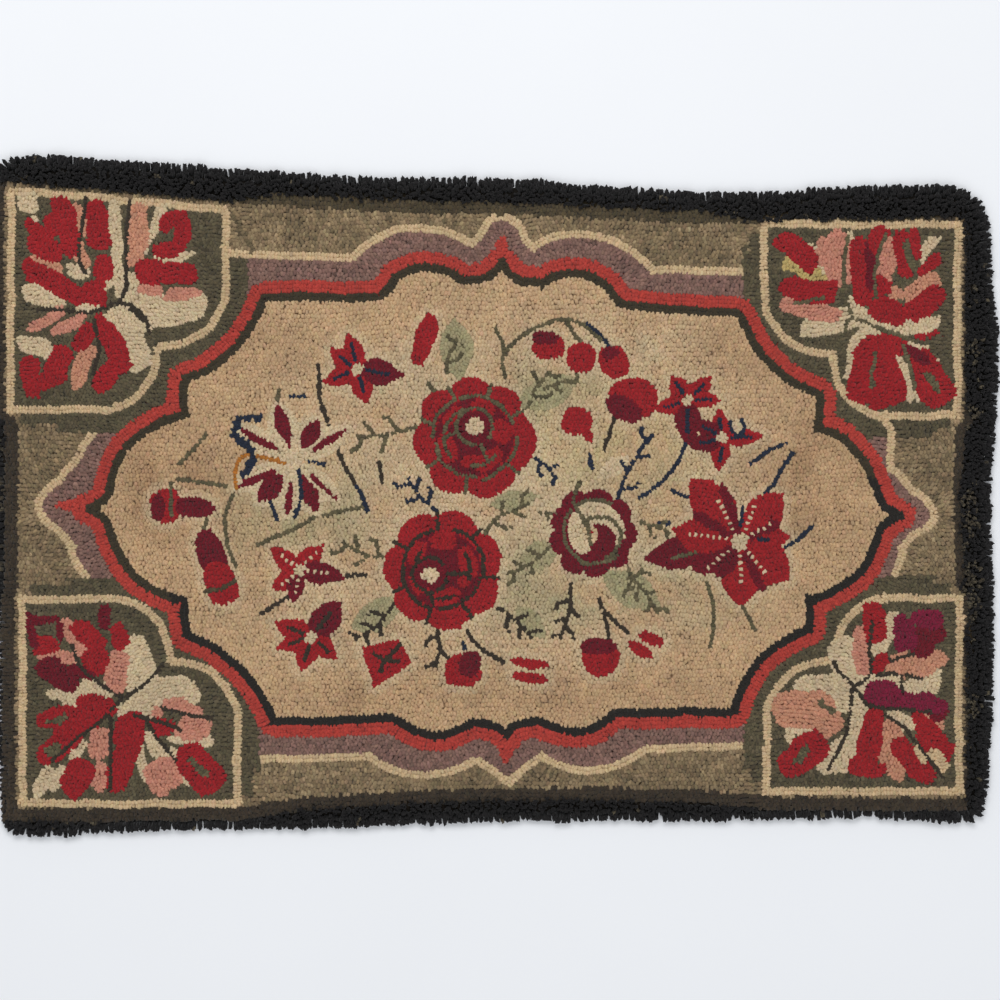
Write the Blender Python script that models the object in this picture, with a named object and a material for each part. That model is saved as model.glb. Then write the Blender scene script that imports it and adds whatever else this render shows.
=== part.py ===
"""A hooked rug lying flat: a low slab of looped wool with a shaggy edge.

Metres, +Z up. The origin is under the middle of the rug's box, on the floor.
+X runs along the rug's length and +Y towards the top of its design.
"""

import bmesh
import bpy
from mathutils import Vector, noise

RUG = "hooked_rug"

# Where the shag is rooted, counter-clockwise from the middle of the right side. The
# sides bow and waver a little, as a hand-made rug's do, and the corners are rounded.
# The columns are x and y.
RIM_POINTS = (
    (0.484, 0.010),
    (0.491, 0.130),
    (0.484, 0.235),
    (0.478, 0.286),
    (0.452, 0.306),
    (0.360, 0.306),
    (0.240, 0.300),
    (0.120, 0.305),
    (0.000, 0.314),
    (-0.120, 0.315),
    (-0.240, 0.322),
    (-0.360, 0.331),
    (-0.470, 0.337),
    (-0.499, 0.326),
    (-0.506, 0.290),
    (-0.503, 0.130),
    (-0.499, -0.050),
    (-0.494, -0.220),
    (-0.490, -0.305),
    (-0.473, -0.329),
    (-0.360, -0.323),
    (-0.200, -0.321),
    (0.000, -0.314),
    (0.160, -0.314),
    (0.300, -0.311),
    (0.380, -0.310),
    (0.455, -0.315),
    (0.476, -0.305),
    (0.483, -0.250),
    (0.486, -0.140),
)
RIM_STEPS = 276
FINE_STEPS = 24

# The slab in section, from the rim inwards: the shag stands higher than the loops.
# The columns are the inset from the rim, the height, and how far lumps rise from it.
WALL_HEIGHT = 0.0058
SECTION = (
    (0.006, 0.0104, 0.0011),
    (0.018, 0.0112, 0.0010),
    (0.027, 0.0076, 0.0003),
    (0.090, 0.0075, 0.0005),
    (0.170, 0.0077, 0.0005),
    (0.250, 0.0076, 0.0000),
)
LUMP_SIZE = 0.021

# Locks of shag that lean out over the floor all round the rim.
LOCK_SHORTEST = 0.0025
LOCK_LONGEST = 0.0085
LOCK_LEAN = 0.0016
LOCK_TIP_WIDTH = 0.42
LOCK_TIP_HEIGHT = 0.55
UNEVEN = 7.3  # times LUMP_SIZE's pattern, so that each lock differs from its neighbour

WOOL_COLOUR = (0.235, 0.165, 0.095, 1.0)
WOOL_ROUGHNESS = 0.92


def clear_scene():
    for thing in list(bpy.data.objects):
        bpy.data.objects.remove(thing, do_unlink=True)


def wool():
    material = bpy.data.materials.new("wool")
    material.use_nodes = True
    shader = material.node_tree.nodes["Principled BSDF"]
    shader.inputs["Base Color"].default_value = WOOL_COLOUR
    shader.inputs["Roughness"].default_value = WOOL_ROUGHNESS
    shader.inputs["Metallic"].default_value = 0.0
    return material


def curve_point(before, start, end, after, share):
    """A point between start and end on the smooth curve through all four."""
    square, cube = share * share, share * share * share
    return 0.5 * (
        2 * start
        + (end - before) * share
        + (2 * before - 5 * start + 4 * end - after) * square
        + (3 * start - before - 3 * end + after) * cube
    )


def rim_curve():
    """The rim as RIM_STEPS points, evenly spaced along the smooth curve."""
    rows = [Vector(row) for row in RIM_POINTS]
    count = len(rows)
    fine = [
        curve_point(
            rows[i - 1],
            rows[i],
            rows[(i + 1) % count],
            rows[(i + 2) % count],
            step / FINE_STEPS,
        )
        for i in range(count)
        for step in range(FINE_STEPS)
    ]
    return spaced(fine, RIM_STEPS)


def spaced(loop, count):
    """Points at equal steps along a closed loop."""
    lengths = [(loop[(i + 1) % len(loop)] - point).length for i, point in enumerate(loop)]
    step = sum(lengths) / count
    found, passed, i = [], 0.0, 0
    for k in range(count):
        wanted = k * step
        while passed + lengths[i] < wanted:
            passed += lengths[i]
            i += 1
        share = (wanted - passed) / lengths[i]
        found.append(loop[i].lerp(loop[(i + 1) % len(loop)], share))
    return found


def centred(rim):
    """The rim, moved so that the middle of its box is the origin."""
    xs = [point.x for point in rim]
    ys = [point.y for point in rim]
    middle = Vector(((min(xs) + max(xs)) / 2, (min(ys) + max(ys)) / 2))
    return [point - middle for point in rim]


def half_sizes(rim):
    return max(point.x for point in rim), max(point.y for point in rim)


def lump_at(x, y):
    """A height from -1 to 1 that changes smoothly over LUMP_SIZE."""
    return noise.noise(Vector((x / LUMP_SIZE, y / LUMP_SIZE, 0.0)))


def slab(rim):
    """The closed slab: the rim's outline raised ring by ring towards its middle."""
    mesh = bmesh.new()
    made = bmesh.ops.create_circle(mesh, cap_ends=True, segments=len(rim), radius=1.0)
    ring = dict(zip(made["verts"], rim))
    for corner, point in ring.items():
        corner.co = (point.x, point.y, 0.0)
    edges = mesh.edges[:]
    edges, ring = next_ring(mesh, edges, ring)
    for corner in ring:
        corner.co.z = WALL_HEIGHT
    half_length, half_width = half_sizes(rim)
    for inset, height, lump in SECTION:
        edges, ring = next_ring(mesh, edges, ring)
        for corner, point in ring.items():
            x = point.x * (1 - inset / half_length)
            y = point.y * (1 - inset / half_width)
            corner.co = (x, y, height + lump * lump_at(x, y))
    bmesh.ops.contextual_create(mesh, geom=edges)
    bmesh.ops.recalc_face_normals(mesh, faces=mesh.faces[:])
    return mesh


def next_ring(mesh, edges, ring):
    """Extrudes a ring of edges: the new edges, and each new corner with its rim point."""
    before = {corner.co.to_tuple(7): point for corner, point in ring.items()}
    made = bmesh.ops.extrude_edge_only(mesh, edges=edges)["geom"]
    corners = [part for part in made if isinstance(part, bmesh.types.BMVert)]
    new_edges = [part for part in made if isinstance(part, bmesh.types.BMEdge)]
    return new_edges, {corner: before[corner.co.to_tuple(7)] for corner in corners}


def lock_ends(mesh):
    """Draws each face of the low wall out into a tapered lock that lies on the floor."""
    walls = [
        face
        for face in mesh.faces
        if len(face.verts) == 4 and min(v.co.z for v in face.verts) < WALL_HEIGHT / 2
    ]
    ends = bmesh.ops.extrude_discrete_faces(mesh, faces=walls)["faces"]
    for end in ends:
        end.normal_update()
        middle = end.calc_center_median()
        out = Vector((end.normal.x, end.normal.y, 0.0)).normalized()
        along = Vector((-out.y, out.x, 0.0))
        reach = min(max(0.5 + lump_at(middle.x * UNEVEN, middle.y * UNEVEN), 0.0), 1.0)
        length = LOCK_SHORTEST + (LOCK_LONGEST - LOCK_SHORTEST) * reach
        lean = LOCK_LEAN * lump_at(middle.y * UNEVEN, middle.x * UNEVEN)
        for corner in end.verts:
            sideways = (corner.co - middle).dot(along)
            shift = out * length + along * (lean - sideways * (1 - LOCK_TIP_WIDTH))
            height = corner.co.z * LOCK_TIP_HEIGHT
            corner.co = Vector((corner.co.x, corner.co.y, 0.0)) + shift
            corner.co.z = height


def move_over_origin(mesh):
    """Puts the middle of the finished box over the origin."""
    xs = [corner.co.x for corner in mesh.verts]
    ys = [corner.co.y for corner in mesh.verts]
    shift = Vector((-(min(xs) + max(xs)) / 2, -(min(ys) + max(ys)) / 2, 0.0))
    bmesh.ops.translate(mesh, vec=shift, verts=mesh.verts)


def hooked_rug():
    mesh = slab(centred(rim_curve()))
    lock_ends(mesh)
    move_over_origin(mesh)
    big = [face for face in mesh.faces if len(face.verts) > 4]
    bmesh.ops.triangulate(mesh, faces=big)
    data = bpy.data.meshes.new(RUG)
    mesh.to_mesh(data)
    mesh.free()
    data.materials.append(wool())
    return bpy.data.objects.new(RUG, data)


def main():
    clear_scene()
    collection = bpy.data.collections.new("rug")
    bpy.context.scene.collection.children.link(collection)
    collection.objects.link(hooked_rug())


main()
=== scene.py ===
"""The looks of the hooked rug: its foundation, each yarn loop, the shag and the studio.

The design is drawn in millimetres, +x to the right and +y up, from the middle of the
picture. Shapes are painted in order, and each loop takes the yarn found at its place.
"""

import math
from collections import namedtuple

import bpy
import numpy as np
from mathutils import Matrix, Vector, kdtree


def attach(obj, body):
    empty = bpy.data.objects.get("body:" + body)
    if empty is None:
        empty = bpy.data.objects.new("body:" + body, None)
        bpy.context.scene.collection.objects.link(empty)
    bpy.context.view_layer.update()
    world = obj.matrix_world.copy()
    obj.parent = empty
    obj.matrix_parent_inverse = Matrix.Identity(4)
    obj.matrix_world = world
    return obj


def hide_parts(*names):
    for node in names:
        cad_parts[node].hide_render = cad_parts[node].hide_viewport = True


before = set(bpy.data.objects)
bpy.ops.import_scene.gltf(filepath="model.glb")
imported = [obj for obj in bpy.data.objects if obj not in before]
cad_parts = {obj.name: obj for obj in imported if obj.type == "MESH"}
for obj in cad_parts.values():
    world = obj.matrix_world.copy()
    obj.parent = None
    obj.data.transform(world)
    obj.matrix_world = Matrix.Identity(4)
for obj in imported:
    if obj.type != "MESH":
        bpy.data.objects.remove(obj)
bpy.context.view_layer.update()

NODE = "hooked_rug"
BODY = "root"
MM = 0.001

# Seeds of the random draws.
SHADE_SEED = 11
SHAG_ROOT_SEED = 51
BACK_SEED = 61
LOOPS_SEED = 70
SHAG_SEED = 80

# The design's origin in the row's frame: the row is measured from the rug's middle.
SHIFT_X = 7.5
SHIFT_Y = -4.0

# Yarns as they look in daylight, in 8-bit sRGB.
YARNS = {
    "tan": (190, 158, 120),
    "cream": (198, 177, 143),
    "pale_green": (157, 147, 111),
    "stain": (158, 122, 88),
    "red": (150, 26, 31),
    "crimson": (104, 15, 29),
    "magenta": (116, 20, 48),
    "brick": (172, 60, 50),
    "mauve": (128, 97, 86),
    "salmon": (188, 134, 106),
    "pink": (190, 130, 108),
    "beige": (196, 170, 132),
    "straw": (180, 157, 99),
    "olive": (92, 84, 60),
    "dark_olive": (87, 78, 57),
    "bark": (54, 45, 34),
    "black": (36, 32, 27),
    "navy": (30, 38, 54),
    "gold": (168, 105, 38),
    "ground": (132, 112, 83),
    "ground_light": (156, 135, 103),
    "ground_dark": (104, 90, 66),
    "brown": (76, 65, 45),
    "dark_brown": (58, 48, 36),
    "line_brown": (58, 50, 34),
}
YARN_NAMES = tuple(YARNS)
YARN_NUMBER = {name: number for number, name in enumerate(YARN_NAMES)}

# How much single loops of a yarn differ in lightness: heathered yarns differ more.
PLAIN_SPREAD = 0.06
HEATHER_SPREAD = 0.15
HEATHERED = (
    "ground",
    "ground_light",
    "ground_dark",
    "brown",
    "dark_brown",
    "mauve",
    "dark_olive",
    "olive",
)

# The rim where the shag is rooted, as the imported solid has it.
RIM_POINTS = (
    (484, 10), (491, 130), (484, 235), (478, 286), (452, 306), (360, 306),
    (240, 300), (120, 305), (0, 314), (-120, 315), (-240, 322), (-360, 331),
    (-470, 337), (-499, 326), (-506, 290), (-503, 130), (-499, -50), (-494, -220),
    (-490, -305), (-473, -329), (-360, -323), (-200, -321), (0, -314), (160, -314),
    (300, -311), (380, -310), (455, -315), (476, -305), (483, -250), (486, -140),
)

# The looped field, whose corners are the outer corners of the four leaf panels.
FIELD_POINTS = (
    (462, 280), (463, 80), (455, 72), (452, 0), (455, -86), (463, -94),
    (464, -297), (268, -296), (200, -290), (100, -287), (0, -288), (-100, -291),
    (-200, -297), (-262, -307), (-483, -308), (-484, -95), (-481, -86), (-481, 80),
    (-494, 88), (-495, 316), (-275, 296), (-120, 288), (20, 284), (100, 281),
    (200, 276), (262, 277),
)
BROWN_TOP = 12.0
BROWN_BOTTOM = 12.0
BROWN_LEFT = 13.0
BROWN_RIGHT = 12.0
BROWN_BY_PANELS = 2.0
# Where the brown rows change their width: the start of each ramp and its length.
SIDE_RAMP = (440, 20)
END_RAMP = (250, 25)
TOP_PANEL_RAMP = (215, 40)
SIDE_PANEL_RAMP = (78, 10)
TOP_PANELS_MIDDLE = -10
DARK_BROWN_FROM = 440
DARK_BROWN_BELOW = -250

# The medallion: half of each line, mirrored to the other side. The columns are x, y
# and how far the arc that ends there bulges out from its chord.
MIDDLE_X = -6.0
MIDDLE_Y = 2.0
INNER_UPPER = (
    (0, 234, 0),
    (20, 218, -2),
    (38, 215, 0),
    (106, 216, 12),
    (123, 196, -2),
    (237, 193, 0),
    (317, 113, -14),
    (316, 80, 1),
    (385, 7, 15),
    (404, -11, -3),
)
INNER_LOWER = (
    (384, -29, -3),
    (312, -100, 16),
    (310, -132, 1),
    (230, -218, -14),
    (110, -217, 0),
    (33, -222, 15),
    (13, -226, 0),
    (0, -237, -2),
)
OUTER_UPPER = (
    (0, 281, 0),
    (20, 268, 3),
    (32, 252, -2),
    (112, 261, 10),
    (150, 234, 2),
    (300, 234, 0),
    (393, 76, 0),
    (406, 39, 0),
    (424, 18, 1),
    (445, -2, 2),
    (447, -12, 1),
)
OUTER_LOWER = (
    (432, -28, 2),
    (414, -46, -1),
    (408, -68, 1),
    (300, -254, 0),
    (139, -254, 0),
    (33, -260, 17),
    (0, -285, -2),
)
TOP_TAPER = 0.00016
BOTTOM_TAPER = 0.00011
# How far the medallion drifts to the right above and below, and over what height.
TOP_DRIFT = 8.0
TOP_DRIFT_FROM = 45.0
TOP_DRIFT_OVER = 35.0
BOTTOM_DRIFT = 12.0
BOTTOM_DRIFT_OVER = 230.0
BOTTOM_DRIFT_MOST = 1.1
# How far its right end sags, and how far the outer line's two ends lie to the left.
RIGHT_SAG = 8.0
RIGHT_SAG_LONG = 300
RIGHT_SAG_HIGH = 240
OUTER_ENDS_SHIFT = -8.0
ENDS_FALL_FROM = 1.8
ENDS_FALL_OVER = 60
# The red points on the cusps: x, y, angle, length and width.
CUSP_POINTS = (
    (1, 246, 90, 19, 15),
    (6, -245, -90, 18, 15),
    (-414, -6, 180, 33, 14),
)
BLACK_REACH = 4.4
RED_REACH = 16.0
CREAM_WIDTH = 8.6
# The medallion's dark line is brown above this height and to the left of this place.
BROWN_LINE_ABOVE = 30
BROWN_LINE_WAVER = 60
BROWN_LINE_LEFT = -330
BROWN_LINE_NOISE = (45, 52)

# The four leaf panels: the inner corner, which way the panel runs from it, its size,
# how far its outer corner is raised, where the outer line meets it, and its stems' yarn.
Panel = namedtuple("Panel", "name x y across up width height rise meets stem")
PANELS = (
    Panel("upper_left", -274, 90, -1, 1, 214, 200, 19, "side", "bark"),
    Panel("upper_right", 264, 84, 1, 1, 193, 191, 0, "bottom", "olive"),
    Panel("lower_left", -262, -99, -1, -1, 215, 204, 0, "", "bark"),
    Panel("lower_right", 266, -98, 1, -1, 192, 193, 0, "", "bark"),
)
# The panel's inner side: two round lobes with a notch between them.
LOBE_START = 112
NOTCH_ACROSS = 68
NOTCH_UP = 62
LOBE_END = 117
LOBE_BULGE = 16
PANEL_LINE = 8.4
PANEL_BAND = 15.0
PANEL_BAND_WIDER = 10
PANEL_BAND_WIDER_TO = 150
PANEL_BAND_END = 8
PANEL_MARGIN = PANEL_BAND + 6

# Loops and strands, in millimetres.
ALONG = 3.1
ROW = 4.2
LOOP_LONG = 2.65
LOOP_SHORT = 1.95
LOOP_BASE = 1.0
LOOP_HEIGHT = 6.3
CELL = 0.5

# How far the hand wavers from a line: its long and short waves, and their seeds.
WAVER_LONG = 17
WAVER_SHORT = 7
WAVER_SHORT_SHARE = 0.5
WAVER_SEEDS = ((12, 13), (14, 15))
LINE_WAVER = 1.2
SHAPE_WAVER = 1.3
PATCH_WAVER = 1.8
OUTLINE_STEP = 4.0
RIM_STEP = 3.0
NOISE_CELLS = 64
NOISE_FAR = 1000.0
ONE_ROW = 4.4

Shape = namedtuple("Shape", "path closed width yarn every")


# Curves

def smooth(points, closed=False, steps=8):
    """A smooth curve through the points, as an array."""
    rows = np.asarray(points, float)
    count = len(rows)
    if count < 3 and not closed:
        shares = np.linspace(0, 1, steps + 1)[:, None]
        return rows[0] + (rows[-1] - rows[0]) * shares
    found = []
    for i in range(count if closed else count - 1):
        if closed:
            before, start, end, after = (rows[(i + k) % count] for k in (-1, 0, 1, 2))
        else:
            start, end = rows[i], rows[i + 1]
            before, after = rows[max(i - 1, 0)], rows[min(i + 2, count - 1)]
        share = np.arange(steps)[:, None] / steps
        found.append(
            0.5
            * (
                2 * start
                + (end - before) * share
                + (2 * before - 5 * start + 4 * end - after) * share**2
                + (3 * start - before - 3 * end + after) * share**3
            )
        )
    if not closed:
        found.append(rows[-1:])
    return np.concatenate(found)


def arcs(nodes, steps=10):
    """A closed path of arcs: each node is x, y and the bulge of the arc that ends there."""
    found = []
    for i, (x, y, bulge) in enumerate(nodes):
        start = np.array(nodes[i - 1][:2], float)
        chord = np.array([x, y]) - start
        side = np.array([-chord[1], chord[0]]) / np.hypot(*chord)
        share = (np.arange(steps) / steps)[:, None]
        found.append(start + chord * share + side * bulge * 4 * share * (1 - share))
    return np.concatenate(found)


def spaced(path, step, closed=False):
    """Points at even steps along a path, and the path's direction at each."""
    if closed:
        path = np.concatenate([path, path[:1]])
    pieces = np.diff(path, axis=0)
    lengths = np.hypot(*pieces.T)
    along = np.concatenate([[0], np.cumsum(lengths)])
    count = max(int(round(along[-1] / step)), 1)
    wanted = np.linspace(0, along[-1], count + 1)
    if closed:
        wanted = wanted[:-1]
    points = np.stack([np.interp(wanted, along, path[:, k]) for k in (0, 1)], axis=1)
    which = np.clip(np.searchsorted(along, wanted, side="right") - 1, 0, len(pieces) - 1)
    return points, np.arctan2(pieces[which, 1], pieces[which, 0])


def ramp(value, start, length):
    """From 0 at the start to 1 after the length, and level beyond both."""
    return np.clip((value - start) / length, 0, 1)


def turned(points, angle):
    """The points turned about the origin by an angle in radians."""
    c, s = math.cos(angle), math.sin(angle)
    return np.asarray(points, float) @ np.array([[c, s], [-s, c]])


def distance(points, path, closed):
    """The distance of each point from a path."""
    ends = np.roll(path, -1, axis=0) if closed else path[1:]
    starts = path if closed else path[:-1]
    found = np.full(len(points), np.inf)
    for a, b in zip(starts, ends):
        side = b - a
        share = ((points - a) @ side) / max(side @ side, 1e-9)
        gap = points - a - np.clip(share, 0, 1)[:, None] * side
        found = np.minimum(found, np.einsum("ij,ij->i", gap, gap))
    return np.sqrt(found)


def inside(points, path):
    """Which points are inside a closed path."""
    x, y = points.T
    found = np.zeros(len(points), bool)
    for (ax, ay), (bx, by) in zip(path, np.roll(path, -1, axis=0)):
        if ay == by:
            continue
        crosses = (ay > y) != (by > y)
        found ^= crosses & (x < (bx - ax) * (y - ay) / (by - ay) + ax)
    return found


def nearest_on(points, line_points, line_angles):
    """For each point, the nearest of a line's points, and the line's direction there."""
    tree = kdtree.KDTree(len(line_points))
    for number, (x, y) in enumerate(line_points):
        tree.insert((x, y, 0), number)
    tree.balance()
    found = np.array([tree.find((x, y, 0))[1] for x, y in points])
    return line_points[found], line_angles[found]


def smooth_noise(points, size, seed):
    """Noise from -1 to 1 that changes over size millimetres."""
    grid = np.random.default_rng(seed).uniform(-1, 1, (NOISE_CELLS, NOISE_CELLS))
    place = points / size + NOISE_FAR
    low = np.floor(place).astype(int)
    share = place - low
    share = share * share * (3 - 2 * share)
    x, y = low.T % NOISE_CELLS
    right, above = (x + 1) % NOISE_CELLS, (y + 1) % NOISE_CELLS
    lower = grid[x, y] * (1 - share[:, 0]) + grid[right, y] * share[:, 0]
    upper = grid[x, above] * (1 - share[:, 0]) + grid[right, above] * share[:, 0]
    return lower * (1 - share[:, 1]) + upper * share[:, 1]


def wavering(path, amount):
    """A path with the slight waver of handwork."""
    moved = []
    for long, short in WAVER_SEEDS:
        wave = smooth_noise(path, WAVER_LONG, long)
        moved.append(wave + WAVER_SHORT_SHARE * smooth_noise(path, WAVER_SHORT, short))
    return path + amount * np.stack(moved, axis=1)


# The lines of the frame

def tapered(path, ends_shift):
    """Moves a symmetric path to its place, where it narrows and drifts to the right."""
    x, y = path[:, 0], path[:, 1]
    taper = np.where(y > 0, TOP_TAPER, BOTTOM_TAPER)
    above = TOP_DRIFT * ramp(y, TOP_DRIFT_FROM, TOP_DRIFT_OVER)
    below = BOTTOM_DRIFT * np.clip(-y / BOTTOM_DRIFT_OVER, 0, BOTTOM_DRIFT_MOST) ** 2
    high = np.clip(1 - np.abs(y) / RIGHT_SAG_HIGH, 0, 1)
    sag = RIGHT_SAG * ramp(x, 0, RIGHT_SAG_LONG) ** 2 * high
    at_ends = np.clip(ENDS_FALL_FROM - np.abs(y) / ENDS_FALL_OVER, 0, 1)
    x = x + MIDDLE_X + above + below + ends_shift * at_ends
    return np.stack([x, y * (1 - taper * path[:, 0]) + MIDDLE_Y - sag], axis=1)


def mirrored_line(upper, lower, ends_shift=0.0):
    """The closed line from its right half, which runs clockwise from the top."""
    half = list(upper + lower)
    others = []
    for i in range(len(half) - 1, 0, -1):
        x, y, _ = half[i - 1]
        others.append((-x, y, half[i][2]))
    nodes = [half[0][:2] + (others[-1][2],)] + half[1:] + others[:-1]
    return tapered(arcs(nodes), ends_shift)


def panel_point(panel, across, up):
    """A place in a leaf panel, whose outer corner may be raised a little."""
    up = up + panel.rise * (across / panel.width) * (up / panel.height)
    return panel.x + panel.across * across, panel.y + panel.up * up


def panel_path(panel):
    """A leaf panel's outline."""
    nodes = (
        (0, panel.height, 0),
        (0, LOBE_START, 0),
        (NOTCH_ACROSS, NOTCH_UP, -LOBE_BULGE),
        (LOBE_END, 0, -LOBE_BULGE),
        (panel.width, 0, 0),
        (panel.width, panel.height, 0),
    )
    path = spaced(arcs(nodes), OUTLINE_STEP, closed=True)[0]
    return np.stack(panel_point(panel, path[:, 0], path[:, 1]), axis=1)


def brown_outline():
    """The outer edge of the brown rows that lie between the field and the shag."""
    x, y = FIELD.T
    by_panels = ramp(np.abs(x - TOP_PANELS_MIDDLE), *TOP_PANEL_RAMP)
    top = BROWN_TOP - (BROWN_TOP - BROWN_BY_PANELS) * by_panels
    by_panels = ramp(np.abs(y), *SIDE_PANEL_RAMP)
    right = BROWN_RIGHT - (BROWN_RIGHT - BROWN_BY_PANELS) * by_panels
    across = np.where(x > 0, right, -BROWN_LEFT) * ramp(np.abs(x), *SIDE_RAMP)
    up = np.where(y > 0, top, -BROWN_BOTTOM) * ramp(np.abs(y), *END_RAMP)
    return np.stack([x + across, y + up], axis=1)


INNER_LINE = wavering(mirrored_line(INNER_UPPER, INNER_LOWER), LINE_WAVER)
OUTER_LINE = wavering(mirrored_line(OUTER_UPPER, OUTER_LOWER, OUTER_ENDS_SHIFT), LINE_WAVER)
PANEL_LINES = [wavering(panel_path(panel), LINE_WAVER) for panel in PANELS]
RIM = spaced(smooth(RIM_POINTS, closed=True), RIM_STEP, closed=True)[0]
FIELD = spaced(np.array(FIELD_POINTS, float), OUTLINE_STEP, closed=True)[0]
BROWN_LINE = brown_outline()


# Motifs, as shapes in painting order

def fill(path, yarn):
    """A closed shape filled with one yarn."""
    return Shape(np.asarray(path, float), True, 0.0, yarn, 1)


def stroke(points, yarn, width=ONE_ROW, every=1):
    """A line of yarn, one row of loops wide or else as wide as told."""
    return Shape(smooth(points), False, width, yarn, every)


def oval(x, y, half_long, half_short, angle=0.0, square=1.0, steps=28):
    """An oval, which gets squarer as square falls below 1."""
    t = np.linspace(0, 2 * math.pi, steps, endpoint=False)
    c, s = np.cos(t), np.sin(t)
    across, up = np.sign(c) * np.abs(c) ** square, np.sign(s) * np.abs(s) ** square
    ring = np.stack([half_long * across, half_short * up], axis=1)
    return turned(ring, math.radians(angle)) + (x, y)


def petal_path(x, y, angle, length, width, start=0.0, blunt=0.5, sharp=0.8):
    """A petal from near (x, y): blunt moves its widest place towards the tip."""
    share = np.linspace(0, 1, 12)
    half = 0.5 * width * np.sin(math.pi * share ** (1 + blunt)) ** sharp
    along = start + (length - start) * share
    edge = np.concatenate([np.stack([along, half], 1), np.stack([along, -half], 1)[::-1]])
    return turned(edge, math.radians(angle)) + (x, y)


def dot(x, y, radius, yarn):
    """A round spot of one yarn."""
    return fill(oval(x, y, radius, radius), yarn)


def moved(points, x, y):
    """The points of a motif, moved to its place."""
    return [(x + across, y + up) for across, up in points]


def around(x, y, angles, radius, squash=1.0):
    """Points round (x, y) at the angles, in radians."""
    across, up = radius * np.cos(angles), squash * radius * np.sin(angles)
    return np.stack([x + across, y + up], axis=1)


def ray(x, y, angle, start, end):
    """The two ends of a line that points away from (x, y)."""
    a = math.radians(angle)
    c, s = math.cos(a), math.sin(a)
    return [(x + start * c, y + start * s), (x + end * c, y + end * s)]


# A small flower's red round and the ends of its veins, which start outside its centre.
STAR_ROUND = 1.7
STAR_VEIN_FROM = 3
STAR_VEIN_TO = 0.66


def star(x, y, petals, yarn, vein, centre):
    """A small open flower. The petals' columns are angle, length, width and yarn."""
    shapes = [dot(x, y, STAR_ROUND * centre, yarn)]
    for angle, length, width, own in petals:
        path = petal_path(x, y, angle, length, width, blunt=-0.2, sharp=0.95)
        shapes.append(fill(path, own or yarn))
    every = 2 if vein == "cream" else 1
    for angle, length, _, _ in petals:
        points = ray(x, y, angle, centre + STAR_VEIN_FROM, STAR_VEIN_TO * length)
        shapes.append(stroke(points, vein, every=every))
    shapes.append(dot(x, y, centre, "cream"))
    return shapes


def scalloped(x, y, radius, petals, depth, turn=0.0, steps=120):
    """A round outline with a scallop for each petal."""
    t = np.linspace(0, 2 * math.pi, steps, endpoint=False)
    r = radius * (1 - depth + depth * np.abs(np.sin(0.5 * petals * (t - turn))) ** 0.6)
    return around(x, y, t, r)


def arc(x, y, radius, start, end, squash=1.0, steps=14):
    """Part of a circle, from one angle to another in degrees."""
    return around(x, y, np.radians(np.linspace(start, end, steps)), radius, squash)


# The rolled petals of a rose's inside: angle, how far out, and half sizes, in shares of
# its radius.
ROSE_FOLDS = (
    (-62, 0.44, 0.28, 0.16),
    (8, 0.47, 0.22, 0.15),
    (68, 0.50, 0.22, 0.13),
    (128, 0.48, 0.20, 0.13),
    (196, 0.45, 0.27, 0.15),
    (262, 0.40, 0.20, 0.12),
)
# The lines between its rolled petals: from one angle to another, at a share.
ROSE_LINES = (
    (14, 172, 0.68),
    (-84, -6, 0.69),
    (186, 268, 0.64),
    (60, 214, 0.48),
    (262, 318, 0.46),
)
# The two lines that leave its heart: the angle, and how far they reach.
ROSE_HEART_LINES = ((-75, 0.62), (196, 0.52))
ROSE_HEART_LINE_FROM = 0.3
ROSE_HEART = (0.27, 0.25)
ROSE_HEART_RING = 0.29
ROSE_HEART_CURL = (-40, 290)
ROSE_CENTRE = (9.5, 8.5)
ROSE_INSIDE = 0.64
ROSE_EDGE_LINE = (0.68, 0.92)
# How far out its outer petals reach where they meet, and how much further between.
ROSE_EDGE = 0.86
ROSE_SWELL = 0.15
ROSE_BLUNT = 0.7


def rose_outline(x, y, radius, edges):
    """A rose's outline: its outer petals meet at the edges' angles."""
    t = np.radians(np.arange(0, 360, 3))
    ends = np.radians(np.array(edges + (edges[0] + 360,), float))
    turned_on = (t - ends[0]) % (2 * math.pi) + ends[0]
    which = np.searchsorted(ends, turned_on, side="right") - 1
    share = (turned_on - ends[which]) / (ends[which + 1] - ends[which])
    swell = ROSE_SWELL * np.sin(math.pi * share) ** ROSE_BLUNT
    return around(x, y, t, radius * (ROSE_EDGE + swell))


def rose(x, y, radius, edges, line, turn, heart):
    """A full rose: outer petals round rolled ones, and a heart off its middle."""
    shapes = [fill(rose_outline(x, y, radius, edges), "red")]
    shapes.append(dot(x, y, ROSE_INSIDE * radius, "crimson"))
    for angle, reach, long, wide in ROSE_FOLDS:
        sx, sy = ray(x, y, turn + angle, 0, reach * radius)[1]
        path = oval(sx, sy, long * radius, wide * radius, turn + angle + 90, square=0.75)
        shapes.append(fill(path, "red"))
    for start, end, share in ROSE_LINES:
        shapes.append(stroke(arc(x, y, share * radius, turn + start, turn + end), line))
    start, end = (share * radius for share in ROSE_EDGE_LINE)
    for angle in edges:
        shapes.append(stroke(ray(x, y, angle, start, end), line))
    hx, hy = x + heart[0], y + heart[1]
    shapes.append(fill(oval(hx, hy, *(share * radius for share in ROSE_HEART)), "crimson"))
    start, end = (turn + angle for angle in ROSE_HEART_CURL)
    shapes.append(stroke(arc(hx, hy, ROSE_HEART_RING * radius, start, end), line))
    start = ROSE_HEART_LINE_FROM * radius
    for angle, reach in ROSE_HEART_LINES:
        shapes.append(stroke(ray(hx, hy, turn + angle, start, reach * radius), line))
    shapes.append(fill(oval(hx, hy, *ROSE_CENTRE), "cream"))
    return shapes


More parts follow.
